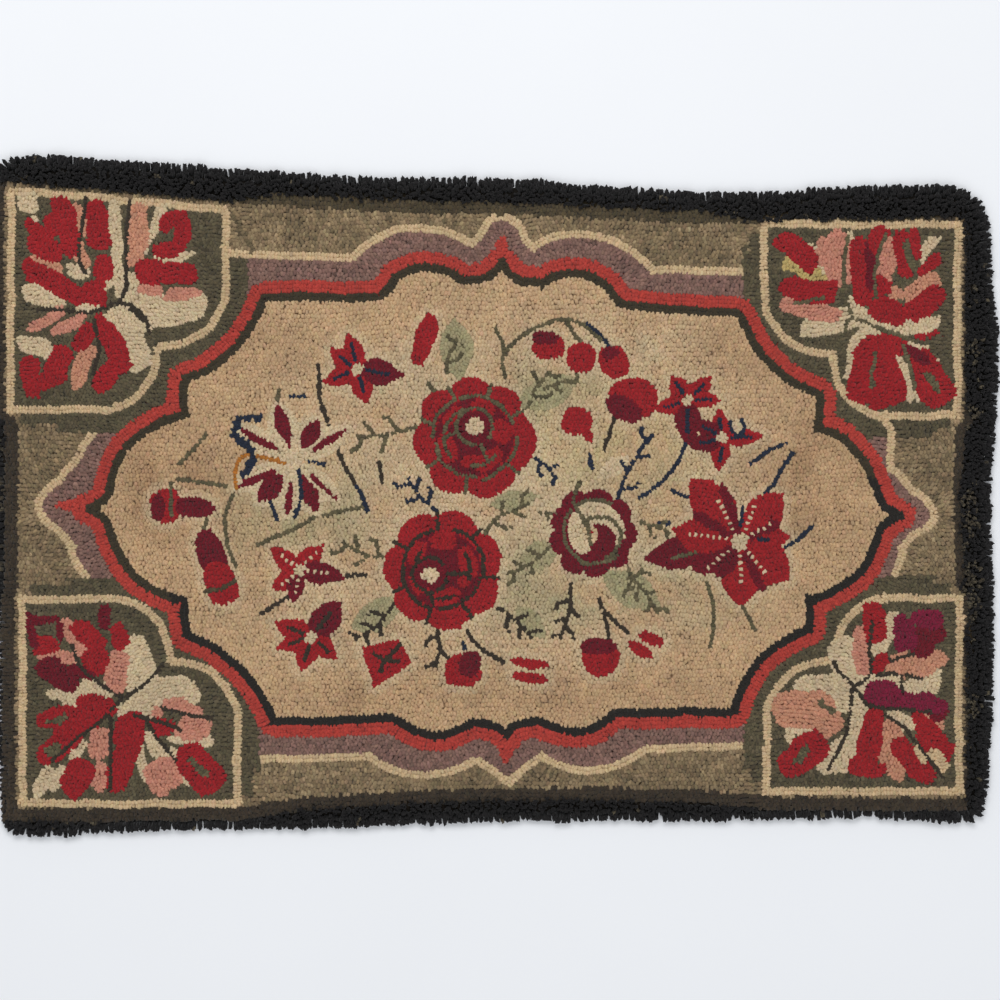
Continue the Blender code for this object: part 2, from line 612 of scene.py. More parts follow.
# A sprig: its bend, where its shoots begin and over what share of it, and their angle.
TWIG_BEND = 0.08
SHOOTS_FROM = 0.28
SHOOTS_OVER = 0.62
SHOOT_ANGLE = 58
SHOOT_SHORTER = 0.25
SHOOT_TIP = 5
SHOOT_TIP_ANGLE = 8


def twig(x, y, tip_x, tip_y, yarn, shoots, reach):
    """A forked sprig: a stem with shoots left and right of it."""
    foot, tip = np.array([x, y], float), np.array([tip_x, tip_y], float)
    way = tip - foot
    angle = math.degrees(math.atan2(way[1], way[0]))
    bend = np.array([-way[1], way[0]]) * TWIG_BEND
    shapes = [stroke([foot, foot + way * 0.5 + bend, tip], yarn)]
    for k in range(shoots):
        share = SHOOTS_FROM + SHOOTS_OVER * k / max(shoots - 1, 1)
        side = 1 if k % 2 else -1
        base = foot + way * share + bend * (1 - abs(2 * share - 1))
        length = reach * (1.0 - SHOOT_SHORTER * share)
        out = ray(*base, angle + side * SHOOT_ANGLE, 0, length)
        shapes.append(stroke(out, yarn))
        if k % 3 == 0:
            tip_line = ray(*out[1], angle + side * SHOOT_TIP_ANGLE, 0, SHOOT_TIP)
            shapes.append(stroke(tip_line, yarn))
    return shapes


def leaf(x, y, tip_x, tip_y, width, yarn):
    """A pointed leaf from its foot to its tip."""
    length = math.hypot(tip_x - x, tip_y - y)
    angle = math.degrees(math.atan2(tip_y - y, tip_x - x))
    return fill(petal_path(x, y, angle, length, width, blunt=0.1), yarn)


# The design, in painting order

# Pale leaves under the flowers: foot x, y, tip x, y, width, yarn.
LEAVES = (
    (-40, 118, -46, 182, 34, "pale_green"),
    (16, 92, 78, 122, 34, "pale_green"),
    (96, 20, 130, 44, 18, "cream"),
    (20, -60, 58, -50, 30, "pale_green"),
    (100, -72, 160, -106, 36, "pale_green"),
    (-92, -98, -150, -128, 30, "pale_green"),
    (16, -104, 44, -138, 22, "pale_green"),
    (-12, -6, 36, 4, 22, "pale_green"),
)

# Stems and single lines: yarn, width and the points.
STEMS = (
    ("olive", ONE_ROW, ((5, 124), (4, 146), (22, 164), (56, 180), (82, 175), (108, 154))),
    ("olive", ONE_ROW, ((-4, 172), (2, 158), (4, 146))),
    ("olive", ONE_ROW, ((66, 178), (72, 166), (80, 158))),
    ("navy", ONE_ROW, ((86, 176), (98, 168), (110, 152))),
    ("bark", ONE_ROW, ((-183, 134), (-181, 110), (-176, 88), (-170, 74))),
    ("bark", ONE_ROW, ((-171, 75), (-159, 43), (-144, 14))),
    ("navy", ONE_ROW, ((-144, 14), (-136, 0), (-131, -12))),
    ("olive", ONE_ROW, ((-241, -45), (-202, -26), (-166, -12), (-136, -8))),
    ("olive", ONE_ROW, ((-320, 21), (-296, 18), (-272, 15))),
    ("olive", ONE_ROW, ((-320, 35), (-306, 50), (-293, 65))),
    ("olive", ONE_ROW, ((-266, 6), (-274, -18), (-272, -44), (-263, -66))),
    ("olive", ONE_ROW, ((-292, -12), (-295, -28))),
    ("olive", ONE_ROW, ((-222, 78), (-224, 94), (-220, 110))),
    ("bark", ONE_ROW, ((115, 83), (110, 66), (104, 49))),
    ("navy", 4.8, ((186, 60), (176, 36), (160, 16), (138, 1))),
    ("navy", 5.4, ((90, 44), (92, 31))),
    ("navy", ONE_ROW, ((250, 36), (268, 50), (286, 58))),
    ("navy", ONE_ROW, ((260, -2), (276, 22), (292, 48))),
    ("navy", ONE_ROW, ((279, -49), (296, -40), (311, -26))),
    ("navy", ONE_ROW, ((172, 9), (184, 3), (196, 1))),
    ("navy", 5.4, ((159, -25), (168, -21))),
    ("olive", ONE_ROW, ((206, -82), (214, -110), (210, -146))),
    ("olive", ONE_ROW, ((222, -84), (240, -104), (255, -128))),
    ("bark", ONE_ROW, ((100, -98), (106, -118), (108, -138))),
    ("bark", ONE_ROW, ((106, -112), (116, -122), (128, -132))),
    ("bark", ONE_ROW, ((-34, -132), (-22, -146), (4, -163))),
    ("navy", ONE_ROW, ((-38, -142), (-36, -152))),
    ("bark", ONE_ROW, ((-238, -114), (-226, -106), (-212, -98))),
    ("bark", ONE_ROW, ((-160, -78), (-148, -75), (-134, -75))),
    ("bark", ONE_ROW, ((-122, 38), (-120, 28), (-118, 19))),
    ("olive", ONE_ROW, ((-72, 116), (-62, 106), (-50, 98))),
    ("ground_dark", 6.0, ((-268, 285), (-258, 266), (-246, 249))),
)

# Sprigs: foot x, y, tip x, y, yarn, how many shoots and how long they are.
TWIGS = (
    (-84, 73, -142, 65, "olive", 4, 20),
    (-52, 128, -44, 160, "olive", 2, 12),
    (-62, -12, -92, 20, "navy", 4, 15),
    (-18, -34, 28, -4, "olive", 4, 15),
    (-106, -60, -156, -42, "olive", 4, 18),
    (-106, -104, -144, -138, "bark", 5, 15),
    (-62, -124, -66, -166, "bark", 3, 14),
    (-2, -108, 30, -136, "bark", 4, 15),
    (71, -84, 60, -138, "bark", 5, 14),
    (115, -14, 152, 64, "navy", 4, 15),
    (32, 44, 56, 22, "navy", 3, 12),
    (28, 92, 50, 128, "olive", 3, 16),
    (122, -96, 142, -70, "olive", 3, 12),
    (128, -78, 158, -114, "olive", 4, 11),
    (52, -46, 8, -72, "olive", 4, 13),
    (140, -22, 170, -34, "olive", 3, 12),
    (40, -12, 56, -14, "olive", 1, 8),
    (44, 112, 78, 118, "olive", 2, 10),
)

# Small open flowers: x, y, yarn, vein, centre, then the petals' angle, length, width
# and own yarn.
STARS = (
    (-142, 130, "red", "navy", 6.5,
     ((103, 38, 22, None), (143, 34, 22, None), (200, 38, 22, None), (-75, 36, 23, None),
      (-6, 47, 28, "crimson"))),
    (-201, -69, "red", "cream", 6.5,
     ((143, 34, 22, None), (46, 36, 22, None), (220, 33, 22, None), (260, 34, 18, "crimson"),
      (-11, 48, 22, "crimson"))),
    (-188, -136, "red", "bark", 6.5,
     ((50, 46, 30, "crimson"), (160, 40, 24, None), (197, 36, 22, None), (252, 37, 24, None),
      (-41, 34, 20, None))),
    (187, 99, "red", "navy", 6.0,
     ((125, 31, 20, None), (42, 34, 20, None), (0, 34, 16, None), (195, 34, 20, None),
      (-88, 46, 26, "crimson"))),
    (222, 62, "red", "navy", 6.0,
     ((98, 31, 17, None), (4, 42, 20, None), (-97, 35, 20, None), (150, 34, 18, "crimson"),
      (196, 36, 22, "crimson"))),
)

# Buds and berries: x, y, half length, half width, angle and yarn.
BUDS = (
    (-76, 159, 27, 10.5, 72, "red"),
    (48, 153, 17, 13, 5, "red"),
    (45, 162, 14, 7, -4, "crimson"),
    (81, 142, 15, 14.5, -8, "red"),
    (114, 138, 15, 17, 20, "red"),
    (110, 147, 9, 7, 30, "crimson"),
    (77, 78, 15.5, 14, 0, "red"),
    (86, 66, 10, 5, -62, "red"),
    (133, 101, 25, 20, -4, "red"),
    (124, 91, 20, 11, -34, "crimson"),
    (-334, -6, 15, 18, 0, "red"),
    (-341, -8, 7, 14, 0, "crimson"),
    (-304, -7, 20, 10, -5, "crimson"),
    (-288, -54, 26, 14, 112, "crimson"),
    (-278, -84, 23, 15.5, 108, "red"),
    (-37, -170, 19, 17, 0, "red"),
    (-30, -164, 12, 14, 0, "crimson"),
    (100, -157, 19, 19, 0, "red"),
    (98, -147, 18, 9, 0, "crimson"),
    (30, -163, 20, 5, -6, "red"),
    (30, -177, 19, 5.5, -6, "red"),
    (152, -139, 13, 6, -22, "red"),
    (140, -149, 14, 6, -30, "red"),
)

LILY = (-205, 38)
# Its petals: the angle, length and width, and how much of the width is striped.
LILY_PETALS = (
    (107, 60, 24, 0.62),
    (60, 48, 26, 0.68),
    (33, 64, 18, 0.48),
    (148, 66, 17, 0.48),
    (204, 64, 17, 0.50),
    (228, 54, 30, 0.72),
    (262, 54, 19, 0.40),
    (294, 56, 25, 0.66),
    (318, 58, 16, 0.38),
)

LARGE = (239, -41)
# Its petals: the angle, length, width and yarn.
LARGE_PETALS = (
    (191, 98, 34, "crimson"),
    (212, 56, 30, "crimson"),
    (128, 80, 42, "red"),
    (171, 68, 38, "red"),
    (-88, 66, 40, "red"),
    (-40, 62, 48, "red"),
    (47, 64, 38, "red"),
    (5, 50, 30, "red"),
    (236, 44, 22, "crimson"),
)

ROSETTE = (92, -33)

# The leaves of each panel, as patches of each yarn. The columns are across and up from
# the panel's inner corner, half length, half width and angle.
PATCHES = {
    "upper_left": {
        "cream": (
            (147, 131, 11, 6, 20), (109, 160, 37, 5, 88), (114, 124, 12, 5, 130),
            (198, 191, 11, 8, 0), (186, 170, 11, 3, 45), (182, 106, 21, 8, 10),
            (134, 98, 16, 4, 160), (189, 58, 18, 7, 15), (98, 68, 30, 14, 62),
            (72, 176, 25, 4, 120), (52, 148, 21, 3.4, 168), (92, 112, 17, 12, 50),
            (58, 97, 38, 13, 166),
        ),
        "salmon": (
            (148, 177, 17, 6, 85), (144, 147, 12, 4.5, 65), (177, 137, 14, 4.5, 25),
            (143, 39, 20, 6.5, 114), (88, 176, 22, 8, 90), (91, 148, 10, 5, 90),
        ),
        "pink": (
            (179, 85, 18, 4.5, 150), (158, 79, 18, 5, 158), (75, 117, 12, 4.5, 0),
            (43, 113, 17, 5, 172),
        ),
        "red": (
            (170, 119, 33, 8.5, 28), (182, 150, 18, 6.5, 20), (188, 165, 16, 6, 25),
            (173, 171, 11, 5, 70), (160, 172, 27, 9, 75), (127, 174, 21, 9.5, 85),
            (122, 134, 13, 8.5, 100), (130, 110, 12, 9, 0), (114, 64, 28, 8, 62),
            (141, 67, 15, 6.5, 125), (120, 31, 16, 7, 122), (168, 42, 17, 8.5, 130),
            (195, 31, 17, 7.5, 82), (180, 27, 19, 5.5, 168), (45, 176, 20, 6.5, 98),
            (55, 184, 13, 5.5, 145), (57, 157, 16, 6, 162), (77, 134, 14, 9.5, 0),
            (48, 134, 18, 9.5, 0),
        ),
    },
    "upper_right": {
        "cream": (
            (52, 157, 16, 3, -60), (84, 160, 24, 3, 90), (91, 111, 12, 7, 60),
            (65, 93, 29, 10, 12), (164, 168, 14, 4, 45), (146, 166, 10, 3.5, 80),
            (112, 92, 20, 9, -25), (151, 90, 23, 8, 8), (148, 66, 16, 3.5, -20),
            (135, 44, 31, 5.5, -70), (150, 20, 11, 4, 0), (91, 63, 27, 6, 72),
            (166, 57, 10, 3, -10),
        ),
        "straw": ((38, 146, 21, 7.5, -22), (50, 138, 12, 5, 0)),
        "pink": (
            (73, 158, 27, 10, 95), (60, 164, 13, 8, 70), (46, 106, 29, 7, -12),
            (121, 152, 25, 6.5, 85),
        ),
        "salmon": ((158, 128, 18, 9, 28), (131, 122, 8, 5.5, 20)),
        "red": (
            (33, 163, 24, 9, -38), (44, 125, 28, 9.5, -3), (96, 145, 33, 9, 95),
            (113, 177, 14, 6, 60), (118, 129, 9, 8, 0), (137, 163, 22, 7, -80),
            (149, 172, 13, 6, 90), (164, 150, 14, 6, 40), (159, 112, 22, 8.5, 32),
            (123, 105, 18, 9, -15), (163, 79, 14, 2.5, 15), (129, 71, 17, 6, -30),
            (100, 47, 32, 11, 74), (123, 41, 29, 11, -70), (112, 18, 10, 7, 0),
            (166, 36, 27, 14, -55),
        ),
        "crimson": ((104, 150, 22, 4, 95), (150, 60, 13, 4, -25)),
        "olive": ((168, 36, 12, 3.5, -55), (143, 160, 12, 3, -80)),
    },
    "lower_left": {
        "cream": (
            (175, 94, 15, 6, 5), (164, 100, 11, 4.5, 20), (141, 91, 19, 7, 0),
            (148, 85, 9, 5, 0), (101, 65, 29, 13, 110), (158, 153, 12, 5, 50),
            (194, 181, 16, 5.5, 63), (180, 177, 15, 4.5, 68), (111, 112, 8, 6.5, 0),
            (97, 162, 20, 4, 98), (78, 150, 20, 7, 126), (54, 178, 12, 3.5, 143),
            (91, 102, 17, 15, 0), (70, 92, 23, 13, 0), (51, 94, 13, 8, 140),
            (48, 140, 19, 3, 0), (34, 143, 8, 4, 0), (62, 153, 8, 3, 130),
        ),
        "pink": (
            (163, 38, 20, 6, 114), (179, 58, 18, 5, 0), (119, 72, 18, 9, 78),
            (136, 144, 17, 9, 90), (137, 178, 14, 7, 75), (75, 178, 17, 14, 120),
            (53, 108, 19, 6.5, 165), (79, 112, 6, 5, 0), (45, 128, 15, 9, 0),
        ),
        "red": (
            (192, 46, 12, 8, 0), (148, 37, 17, 8, 137), (142, 59, 14, 9.5, 140),
            (118, 38, 14, 7.5, 104), (160, 114, 38, 8.5, 13), (144, 104, 17, 7, 170),
            (169, 131, 13, 9, 160), (151, 125, 13, 5, 30), (177, 147, 24, 8, 30),
            (161, 179, 19, 12, 50), (109, 130, 15, 13, 0), (113, 162, 27, 9, 70),
            (75, 127, 12, 5.5, 158), (38, 168, 26, 13.5, 133),
        ),
        "crimson": (
            (192, 21, 17, 3.5, 0), (205, 33, 16, 4, 105), (177, 30, 9, 3, 90),
            (134, 18, 10, 4.5, 90), (179, 75, 21, 10, 155), (153, 72, 14, 4, 147),
        ),
        "olive": ((38, 169, 12, 3, 133), (184, 150, 9, 3, 30), (181, 120, 11, 2.5, 25)),
    },
    "lower_right": {
        "cream": (
            (119, 37, 23, 6.5, 114), (80, 63, 24, 12, 75), (112, 83, 20, 6, 0),
            (97, 93, 8, 8, 0), (156, 88, 19, 8, 172), (169, 81, 8, 6, 0),
            (133, 122, 14, 6, 40), (90, 129, 28, 7, 98), (53, 88, 26, 10, 172),
            (74, 97, 15, 11, 60), (34, 135, 14, 3, 0), (25, 141, 7, 4, 90),
            (68, 156, 23, 9, 130), (76, 161, 12, 10, 90),
        ),
        "pink": ((95, 51, 23, 7, 88),),
        "salmon": (
            (149, 66, 30, 10, 174), (166, 125, 12, 6, 25), (126, 152, 30, 10.5, 79),
            (37, 112, 29, 15, 0), (63, 124, 13, 8.5, 150),
        ),
        "red": (
            (107, 26, 18, 8.5, 82), (114, 65, 12, 6, 137), (152, 124, 11, 6, 60),
            (169, 143, 21, 9.5, 50), (104, 143, 32, 9.5, 98), (101, 169, 17, 7, 15),
            (147, 163, 27, 9, 50), (37, 156, 26, 12, 140),
        ),
        "crimson": ((158, 39, 22, 7.5, 167), (155, 50, 13, 7, 0), (168, 112, 12, 8, 40)),
        "magenta": (
            (137, 36, 17, 8.5, 80), (160, 21, 14, 8, 0), (115, 96, 16, 10.5, 10),
            (147, 102, 31, 8, 8),
        ),
        "beige": ((153, 155, 11, 4, 60), (170, 161, 13, 5.5, 55)),
        "olive": ((36, 158, 11, 4, 140), (60, 108, 8, 3, 45)),
    },
}

# The stems and veins of each panel, from its notch.
VEINS = {
    "upper_left": (
        ((75, 74), (84, 92), (106, 102), (136, 92), (176, 94), (188, 93)),
        ((108, 100), (100, 118), (99, 160), (96, 200)),
        ((140, 128), (146, 150), (139, 200)),
        ((131, 84), (127, 60), (131, 34)),
        ((96, 96), (78, 84)),
    ),
    "upper_right": (
        ((72, 66), (80, 84), (88, 96), (129, 82), (148, 74)),
        ((88, 97), (80, 120), (79, 152), (83, 180)),
        ((110, 63), (106, 28)),
        ((112, 118), (110, 150), (122, 182)),
        ((58, 118), (30, 112)),
        ((138, 70), (150, 30)),
    ),
    "lower_left": (
        ((74, 64), (87, 78), (109, 96), (128, 113), (157, 138), (186, 160)),
        ((109, 97), (129, 90), (157, 66), (166, 46)),
        ((128, 116), (126, 150), (126, 188)),
        ((92, 120), (62, 162)),
        ((104, 116), (79, 122), (57, 131)),
        ((75, 107), (50, 115), (26, 119)),
    ),
    "lower_right": (
        ((68, 64), (72, 74), (88, 88), (104, 107), (140, 111), (164, 114)),
        ((92, 87), (103, 74), (103, 51), (106, 24)),
        ((110, 76), (133, 77), (155, 80)),
        ((124, 62), (146, 56)),
        ((134, 78), (136, 92)),
        ((119, 115), (143, 136), (176, 178)),
        ((86, 92), (80, 130), (62, 170)),
    ),
}


# A lily's cream petals are larger than their stripes, and wide stripes start further in.
LILY_LONGER = 5
LILY_WIDER = 9
STRIPE_FROM = 11
STRIPE_LATER = 12
LILY_LINES = (
    ("gold", 5.0, ((-6, -2), (-32, 5), (-52, 5), (-58, -8), (-57, -26))),
    ("navy", 7.0, ((-34, 44), (-54, 43), (-60, 27), (-46, 16), (-42, 4), (-50, -12))),
    ("navy", 5.0, ((-4, 64), (10, 65))),
    ("navy", ONE_ROW, ((14, 0), (30, -2))),
    ("navy", 5.0, ((5, -8), (6, -34), (0, -54))),
    ("navy", ONE_ROW, ((-24, -40), (-16, -56))),
)


def lily(x, y):
    """A striped lily: cream petals with a crimson stripe each, and a gold line."""
    shapes = []
    for angle, length, width, _ in LILY_PETALS:
        size = (length + LILY_LONGER, width + LILY_WIDER)
        shapes.append(fill(petal_path(x, y, angle, *size, blunt=0.1), "cream"))
    for angle, length, width, share in LILY_PETALS:
        start = STRIPE_FROM + (1 - share) * STRIPE_LATER
        path = petal_path(x, y, angle, length, width * share, start, blunt=0.1)
        shapes.append(fill(path, "crimson"))
    for yarn, width, points in LILY_LINES:
        shapes.append(stroke(moved(points, x, y), yarn, width))
    shapes.append(dot(x, y, 8, "cream"))
    return shapes


# A large flower's darker folds, dark lines and rows of cream dots. The columns are the
# angle and the ends of each line from the middle.
LARGE_FOLDS = ((106, 12, 56), (24, 12, 40), (-64, 14, 50), (148, 14, 50))
LARGE_LINES = ((86, 16, 34, "navy"), (5, 18, 30, "navy"), (194, 46, 70, "olive"))
LARGE_DOTS_FROM = 8
LARGE_DOTS = ((118, 44), (172, 54), (220, 44), (-88, 44), (-50, 40), (28, 38), (66, 40))


def large_flower(x, y):
    """A large flower with dotted cream veins."""
    shapes = []
    for angle, length, width, yarn in LARGE_PETALS:
        path = petal_path(x, y, angle, length, width, blunt=0.15, sharp=0.9)
        shapes.append(fill(path, yarn))
    for fold in LARGE_FOLDS:
        shapes.append(stroke(ray(x, y, *fold), "crimson", 9.0))
    for *line, yarn in LARGE_LINES:
        shapes.append(stroke(ray(x, y, *line), yarn))
    for angle, length in LARGE_DOTS:
        shapes.append(stroke(ray(x, y, angle, LARGE_DOTS_FROM, length), "cream", every=2))
    shapes.append(dot(x, y, 7.5, "cream"))
    return shapes


def rosette(x, y):
    """A crimson and cream rosette with a rolled heart."""
    return [
        fill(scalloped(x, y, 45, 9, 0.16, 0.3), "crimson"),
        dot(x + 3, y + 2, 29, "cream"),
        stroke(arc(x + 3, y + 1, 32, 60, 315), "olive"),
        fill(oval(x + 9, y - 6, 14, 17, 20), "crimson"),
        fill(oval(x + 3, y - 22, 16, 5, 10), "crimson"),
        stroke(arc(x + 7, y - 4, 21, -75, 140), "olive"),
        fill(oval(x - 1, y - 1, 7, 9, 10), "beige"),
        dot(x - 1, y + 1, 3.5, "red"),
        stroke(moved(((-2, -12), (-4, 6), (-18, 30), (-13, 50)), x, y), "olive"),
    ]


def square_bud(x, y):
    """A four-cornered bud with a dark cross."""
    corners = ((-26, 12), (12, 22), (25, -4), (-12, -28))
    return [
        fill(moved(corners, x, y), "red"),
        stroke(moved(((12, 16), (-2, 0), (-8, -12)), x, y), "bark", 6.0),
        stroke(moved(((-14, 6), (-2, 0), (10, 0)), x, y), "bark"),
    ]


def curled_bud(x, y):
    """A cream bud inside a navy curl."""
    return [
        fill(oval(x, y, 5, 8), "cream"),
        stroke(arc(x, y, 7, 150, 400, squash=1.3), "navy"),
    ]


# The two roses: x, y, radius, the angles where petals meet, the yarn of the lines, how
# far the rolled petals are turned, and where the heart lies.
ROSES = (
    (-26, 62, 61, (28, 72, 118, 160, 212, 262, 322), "olive", 5, (1, 11)),
    (-57, -70, 60, (-8, 48, 96, 150, 204, 252, 300), "bark", 80, (-13, -5)),
)
CURLED_BUD = (236, 75)
SQUARE_BUD = (-112, -160)
# The dark bands across two of the buds.
BUD_BANDS = (
    ("olive", ((-327, 17), (-328, 0), (-328, -14))),
    ("brown", ((-294, -90), (-280, -88), (-265, -80))),
)


def bouquet():
    """Every leaf, stem, sprig, bud and flower of the medallion."""
    shapes = [leaf(*row) for row in LEAVES]
    for yarn, width, points in STEMS:
        shapes.append(stroke(points, yarn, width))
    for row in TWIGS:
        shapes += twig(*row)
    for *place_and_size, yarn in BUDS:
        shapes.append(fill(oval(*place_and_size, square=0.85), yarn))
    for yarn, points in BUD_BANDS:
        shapes.append(stroke(points, yarn))
    for x, y, yarn, vein, centre, petals in STARS:
        shapes += star(x, y, petals, yarn, vein, centre)
    shapes += lily(*LILY)
    shapes += large_flower(*LARGE)
    shapes += curled_bud(*CURLED_BUD)
    shapes += square_bud(*SQUARE_BUD)
    shapes += rosette(*ROSETTE)
    for row in ROSES:
        shapes += rose(*row)
    return shapes


# The patches are drawn a little longer and wider than their rows say, and squarer.
PATCH_LONGER = 1.10
PATCH_WIDER = 1.32
PATCH_SQUARE = 0.66


def panel_leaves(panel):
    """The leaves of a panel, in patches between the veins of a forked stem."""
    shapes = []
    for yarn, patches in PATCHES[panel.name].items():
        for x, y, long, wide, angle in patches:
            long, wide = PATCH_LONGER * long, PATCH_WIDER * wide
            across, up = oval(x, y, long, wide, angle, square=PATCH_SQUARE).T
            path = np.stack(panel_point(panel, across, up), axis=1)
            shapes.append(fill(wavering(path, PATCH_WAVER), yarn))
    for vein in VEINS[panel.name]:
        points = [panel_point(panel, across, up) for across, up in vein]
        shapes.append(stroke(points, panel.stem))
    return shapes


def design():
    """Every shape of the design, with the waver of handwork."""
    shapes = [fill(petal_path(*point, blunt=-0.4, sharp=1.2), "brick") for point in CUSP_POINTS]
    shapes += bouquet()
    for panel in PANELS:
        shapes += panel_leaves(panel)
    return [shape._replace(path=wavering(shape.path, SHAPE_WAVER)) for shape in shapes]


# Where each loop sits

GRID_X = 540
GRID_Y = 380
GRID_EDGE = 20
GRID_LOOSER = 1.06
# The two waves of the ground's rows: how far they move a loop, and their length.
GRID_WAVES = ((3.2, 46), (4.0, 58))
GRID_SPREAD = 0.2
ROW_CLEAR = 2.35
FILL_CLEAR = 2.7
GAP_CLEAR = 2.6
RELAX_PASSES = 4
RELAX_SHARE = 0.22
RELAX_GAP = 3.95
FOLLOW_REACH = 26.0
NEIGHBOURS = 7
LINE_ERROR = 0.5
EDGE_FIXED = 0.992
# The ground is filled, then its gaps: the share of a step, the clear round, the seed.
GROUND_PASSES = ((1.0, FILL_CLEAR, 3), (0.4, GAP_CLEAR, 5))
LINE_OFFSETS = (
    (INNER_LINE, (-2.1, 2.1, 6.3, 10.4, 14.5)),
    (OUTER_LINE, (-2.1, 2.1)),
) + tuple((line, (-2.1, 2.1)) for line in PANEL_LINES)


def disc(radius):
    """The cells of the grid that a round place takes up."""
    reach = int(radius / CELL)
    steps = np.arange(-reach, reach + 1) * CELL
    return np.hypot(*np.meshgrid(steps, steps, indexing="ij")) <= radius


def accept(points, taken, clear):
    """The numbers of the points that find a free place, marking each place as taken."""
    mask = disc(clear)
    reach = len(mask) // 2
    kept = []
    for number, (i, j) in enumerate(((points + (GRID_X, GRID_Y)) / CELL).astype(int)):
        if not taken[i, j]:
            taken[i - reach : i + reach + 1, j - reach : j + reach + 1] |= mask
            kept.append(number)
    return np.array(kept, int)


def in_box(points, path, margin=0.0):
    """Which points lie in a path's box, or within the margin of it."""
    low, high = path.min(axis=0) - margin, path.max(axis=0) + margin
    return ((points >= low) & (points <= high)).all(axis=1)


def covered(points, later):
    """Which points lie under a shape that is painted later."""
    found = np.zeros(len(points), bool)
    for shape in later:
        near = in_box(points, shape.path) & ~found
        if shape.closed and near.any():
            found[near] = inside(points[near], shape.path)
    return found


def inset_row(path, inset):
    """Loops along a closed path, a little inside it."""
    points, angles = spaced(path, ALONG, closed=True)
    x, y = path.T
    turn = np.sign(np.sum(x * np.roll(y, -1) - y * np.roll(x, -1)))
    side = np.stack([-np.sin(angles), np.cos(angles)], axis=1) * turn
    return points + side * inset, angles


def design_rows(shapes):
    """Loops along every line and edge of the design, the top shapes first."""
    rows = []
    for number in range(len(shapes) - 1, -1, -1):
        shape = shapes[number]
        if shape.closed:
            points, angles = inset_row(shape.path, 0.5 * ROW)
            fits = inside(points, shape.path)
            points, angles = points[fits], angles[fits]
            owner = -1
        else:
            points, angles = spaced(shape.path, ALONG)
            owner = number
        seen = ~covered(points, shapes[number + 1 :])
        rows.append((points[seen], angles[seen], owner))
    return rows


def frame_rows():
    """Loops in rows along the lines of the frame."""
    rows = []
    for line, offsets in LINE_OFFSETS:
        for offset in offsets:
            points, angles = inset_row(line, -offset)
            true = distance(points, line, True) > abs(offset) - LINE_ERROR
            rows.append((points[true], angles[true], -1))
    return rows


def grid_points(along, row, shift):
    """A grid over the whole rug, whose odd rows are shifted by a share of a step."""
    xs = np.arange(-GRID_X + GRID_EDGE, GRID_X - GRID_EDGE, along)
    ys = np.arange(-GRID_Y + GRID_EDGE, GRID_Y - GRID_EDGE, row)
    x, y = np.meshgrid(xs, ys)
    x = x + along * shift * (np.arange(len(ys)) % 2)[:, None]
    return np.stack([x.ravel(), y.ravel()], axis=1)


def ground_grid(along, row, seed):
    """Loops for all that is left, in wavering rows, as the ground is hooked."""
    points = grid_points(along, row, 0.5)
    for axis, (reach, length) in enumerate(GRID_WAVES):
        points[:, axis] += reach * smooth_noise(points, length, seed + axis)
    own = np.random.default_rng(seed)
    points += own.uniform(-GRID_SPREAD, GRID_SPREAD, points.shape) * along
    return points[inside(points, BROWN_LINE)]


def relaxed(points, fixed):
    """Moves the loops that aren't in a row away from their nearest neighbours."""
    points = points.copy()
    for _ in range(RELAX_PASSES):
        tree = kdtree.KDTree(len(points))
        for number, (x, y) in enumerate(points):
            tree.insert((x, y, 0), number)
        tree.balance()
        moved = points.copy()
        for number in np.flatnonzero(~fixed):
            x, y = points[number]
            for (nx, ny, _), _, gap in tree.find_n((x, y, 0), NEIGHBOURS):
                if 0 < gap < RELAX_GAP:
                    push = RELAX_SHARE * (RELAX_GAP - gap) / gap
                    moved[number] += ((x - nx) * push, (y - ny) * push)
        points = moved
    return points


def follow_lines(places, angles, free):
    """Turns the free loops that are near a line of the frame along it."""
    free = free[~inside(places[free], INNER_LINE)]
    lines = [spaced(line, ALONG, closed=True) for line, _ in LINE_OFFSETS]
    line_points, line_angles = (np.concatenate(group) for group in zip(*lines))
    nearest, along = nearest_on(places[free], line_points, line_angles)
    near = np.hypot(*(places[free] - nearest).T) < FOLLOW_REACH
    angles[free[near]] = along[near] + math.pi / 2


def loop_places(shapes):
    """Each loop's place, direction and the number of the line it belongs to, or -1."""
    taken = np.zeros((int(2 * GRID_X / CELL), int(2 * GRID_Y / CELL)), bool)
    groups = []
    for points, angles, owner in design_rows(shapes) + frame_rows():
        kept = accept(points, taken, ROW_CLEAR)
        owners = np.full(len(kept), owner)
        groups.append((points[kept], angles[kept] + math.pi / 2, owners))
    in_rows = sum(len(group[0]) for group in groups)
    for share, clear, seed in GROUND_PASSES:
        points = ground_grid(share * GRID_LOOSER * ALONG, share * ROW, seed)
        kept = accept(points, taken, clear)
        across = np.full(len(kept), math.pi / 2)
        groups.append((points[kept], across, np.full(len(kept), -1)))
    places, angles, owners = (np.concatenate(group) for group in zip(*groups))
    fixed = np.arange(len(places)) < in_rows
    fixed |= ~inside(places, BROWN_LINE * EDGE_FIXED)
    places = relaxed(places, fixed)
    follow_lines(places, angles, np.arange(in_rows, len(places)))
    return places, angles, owners


# The yarn and colour of each loop

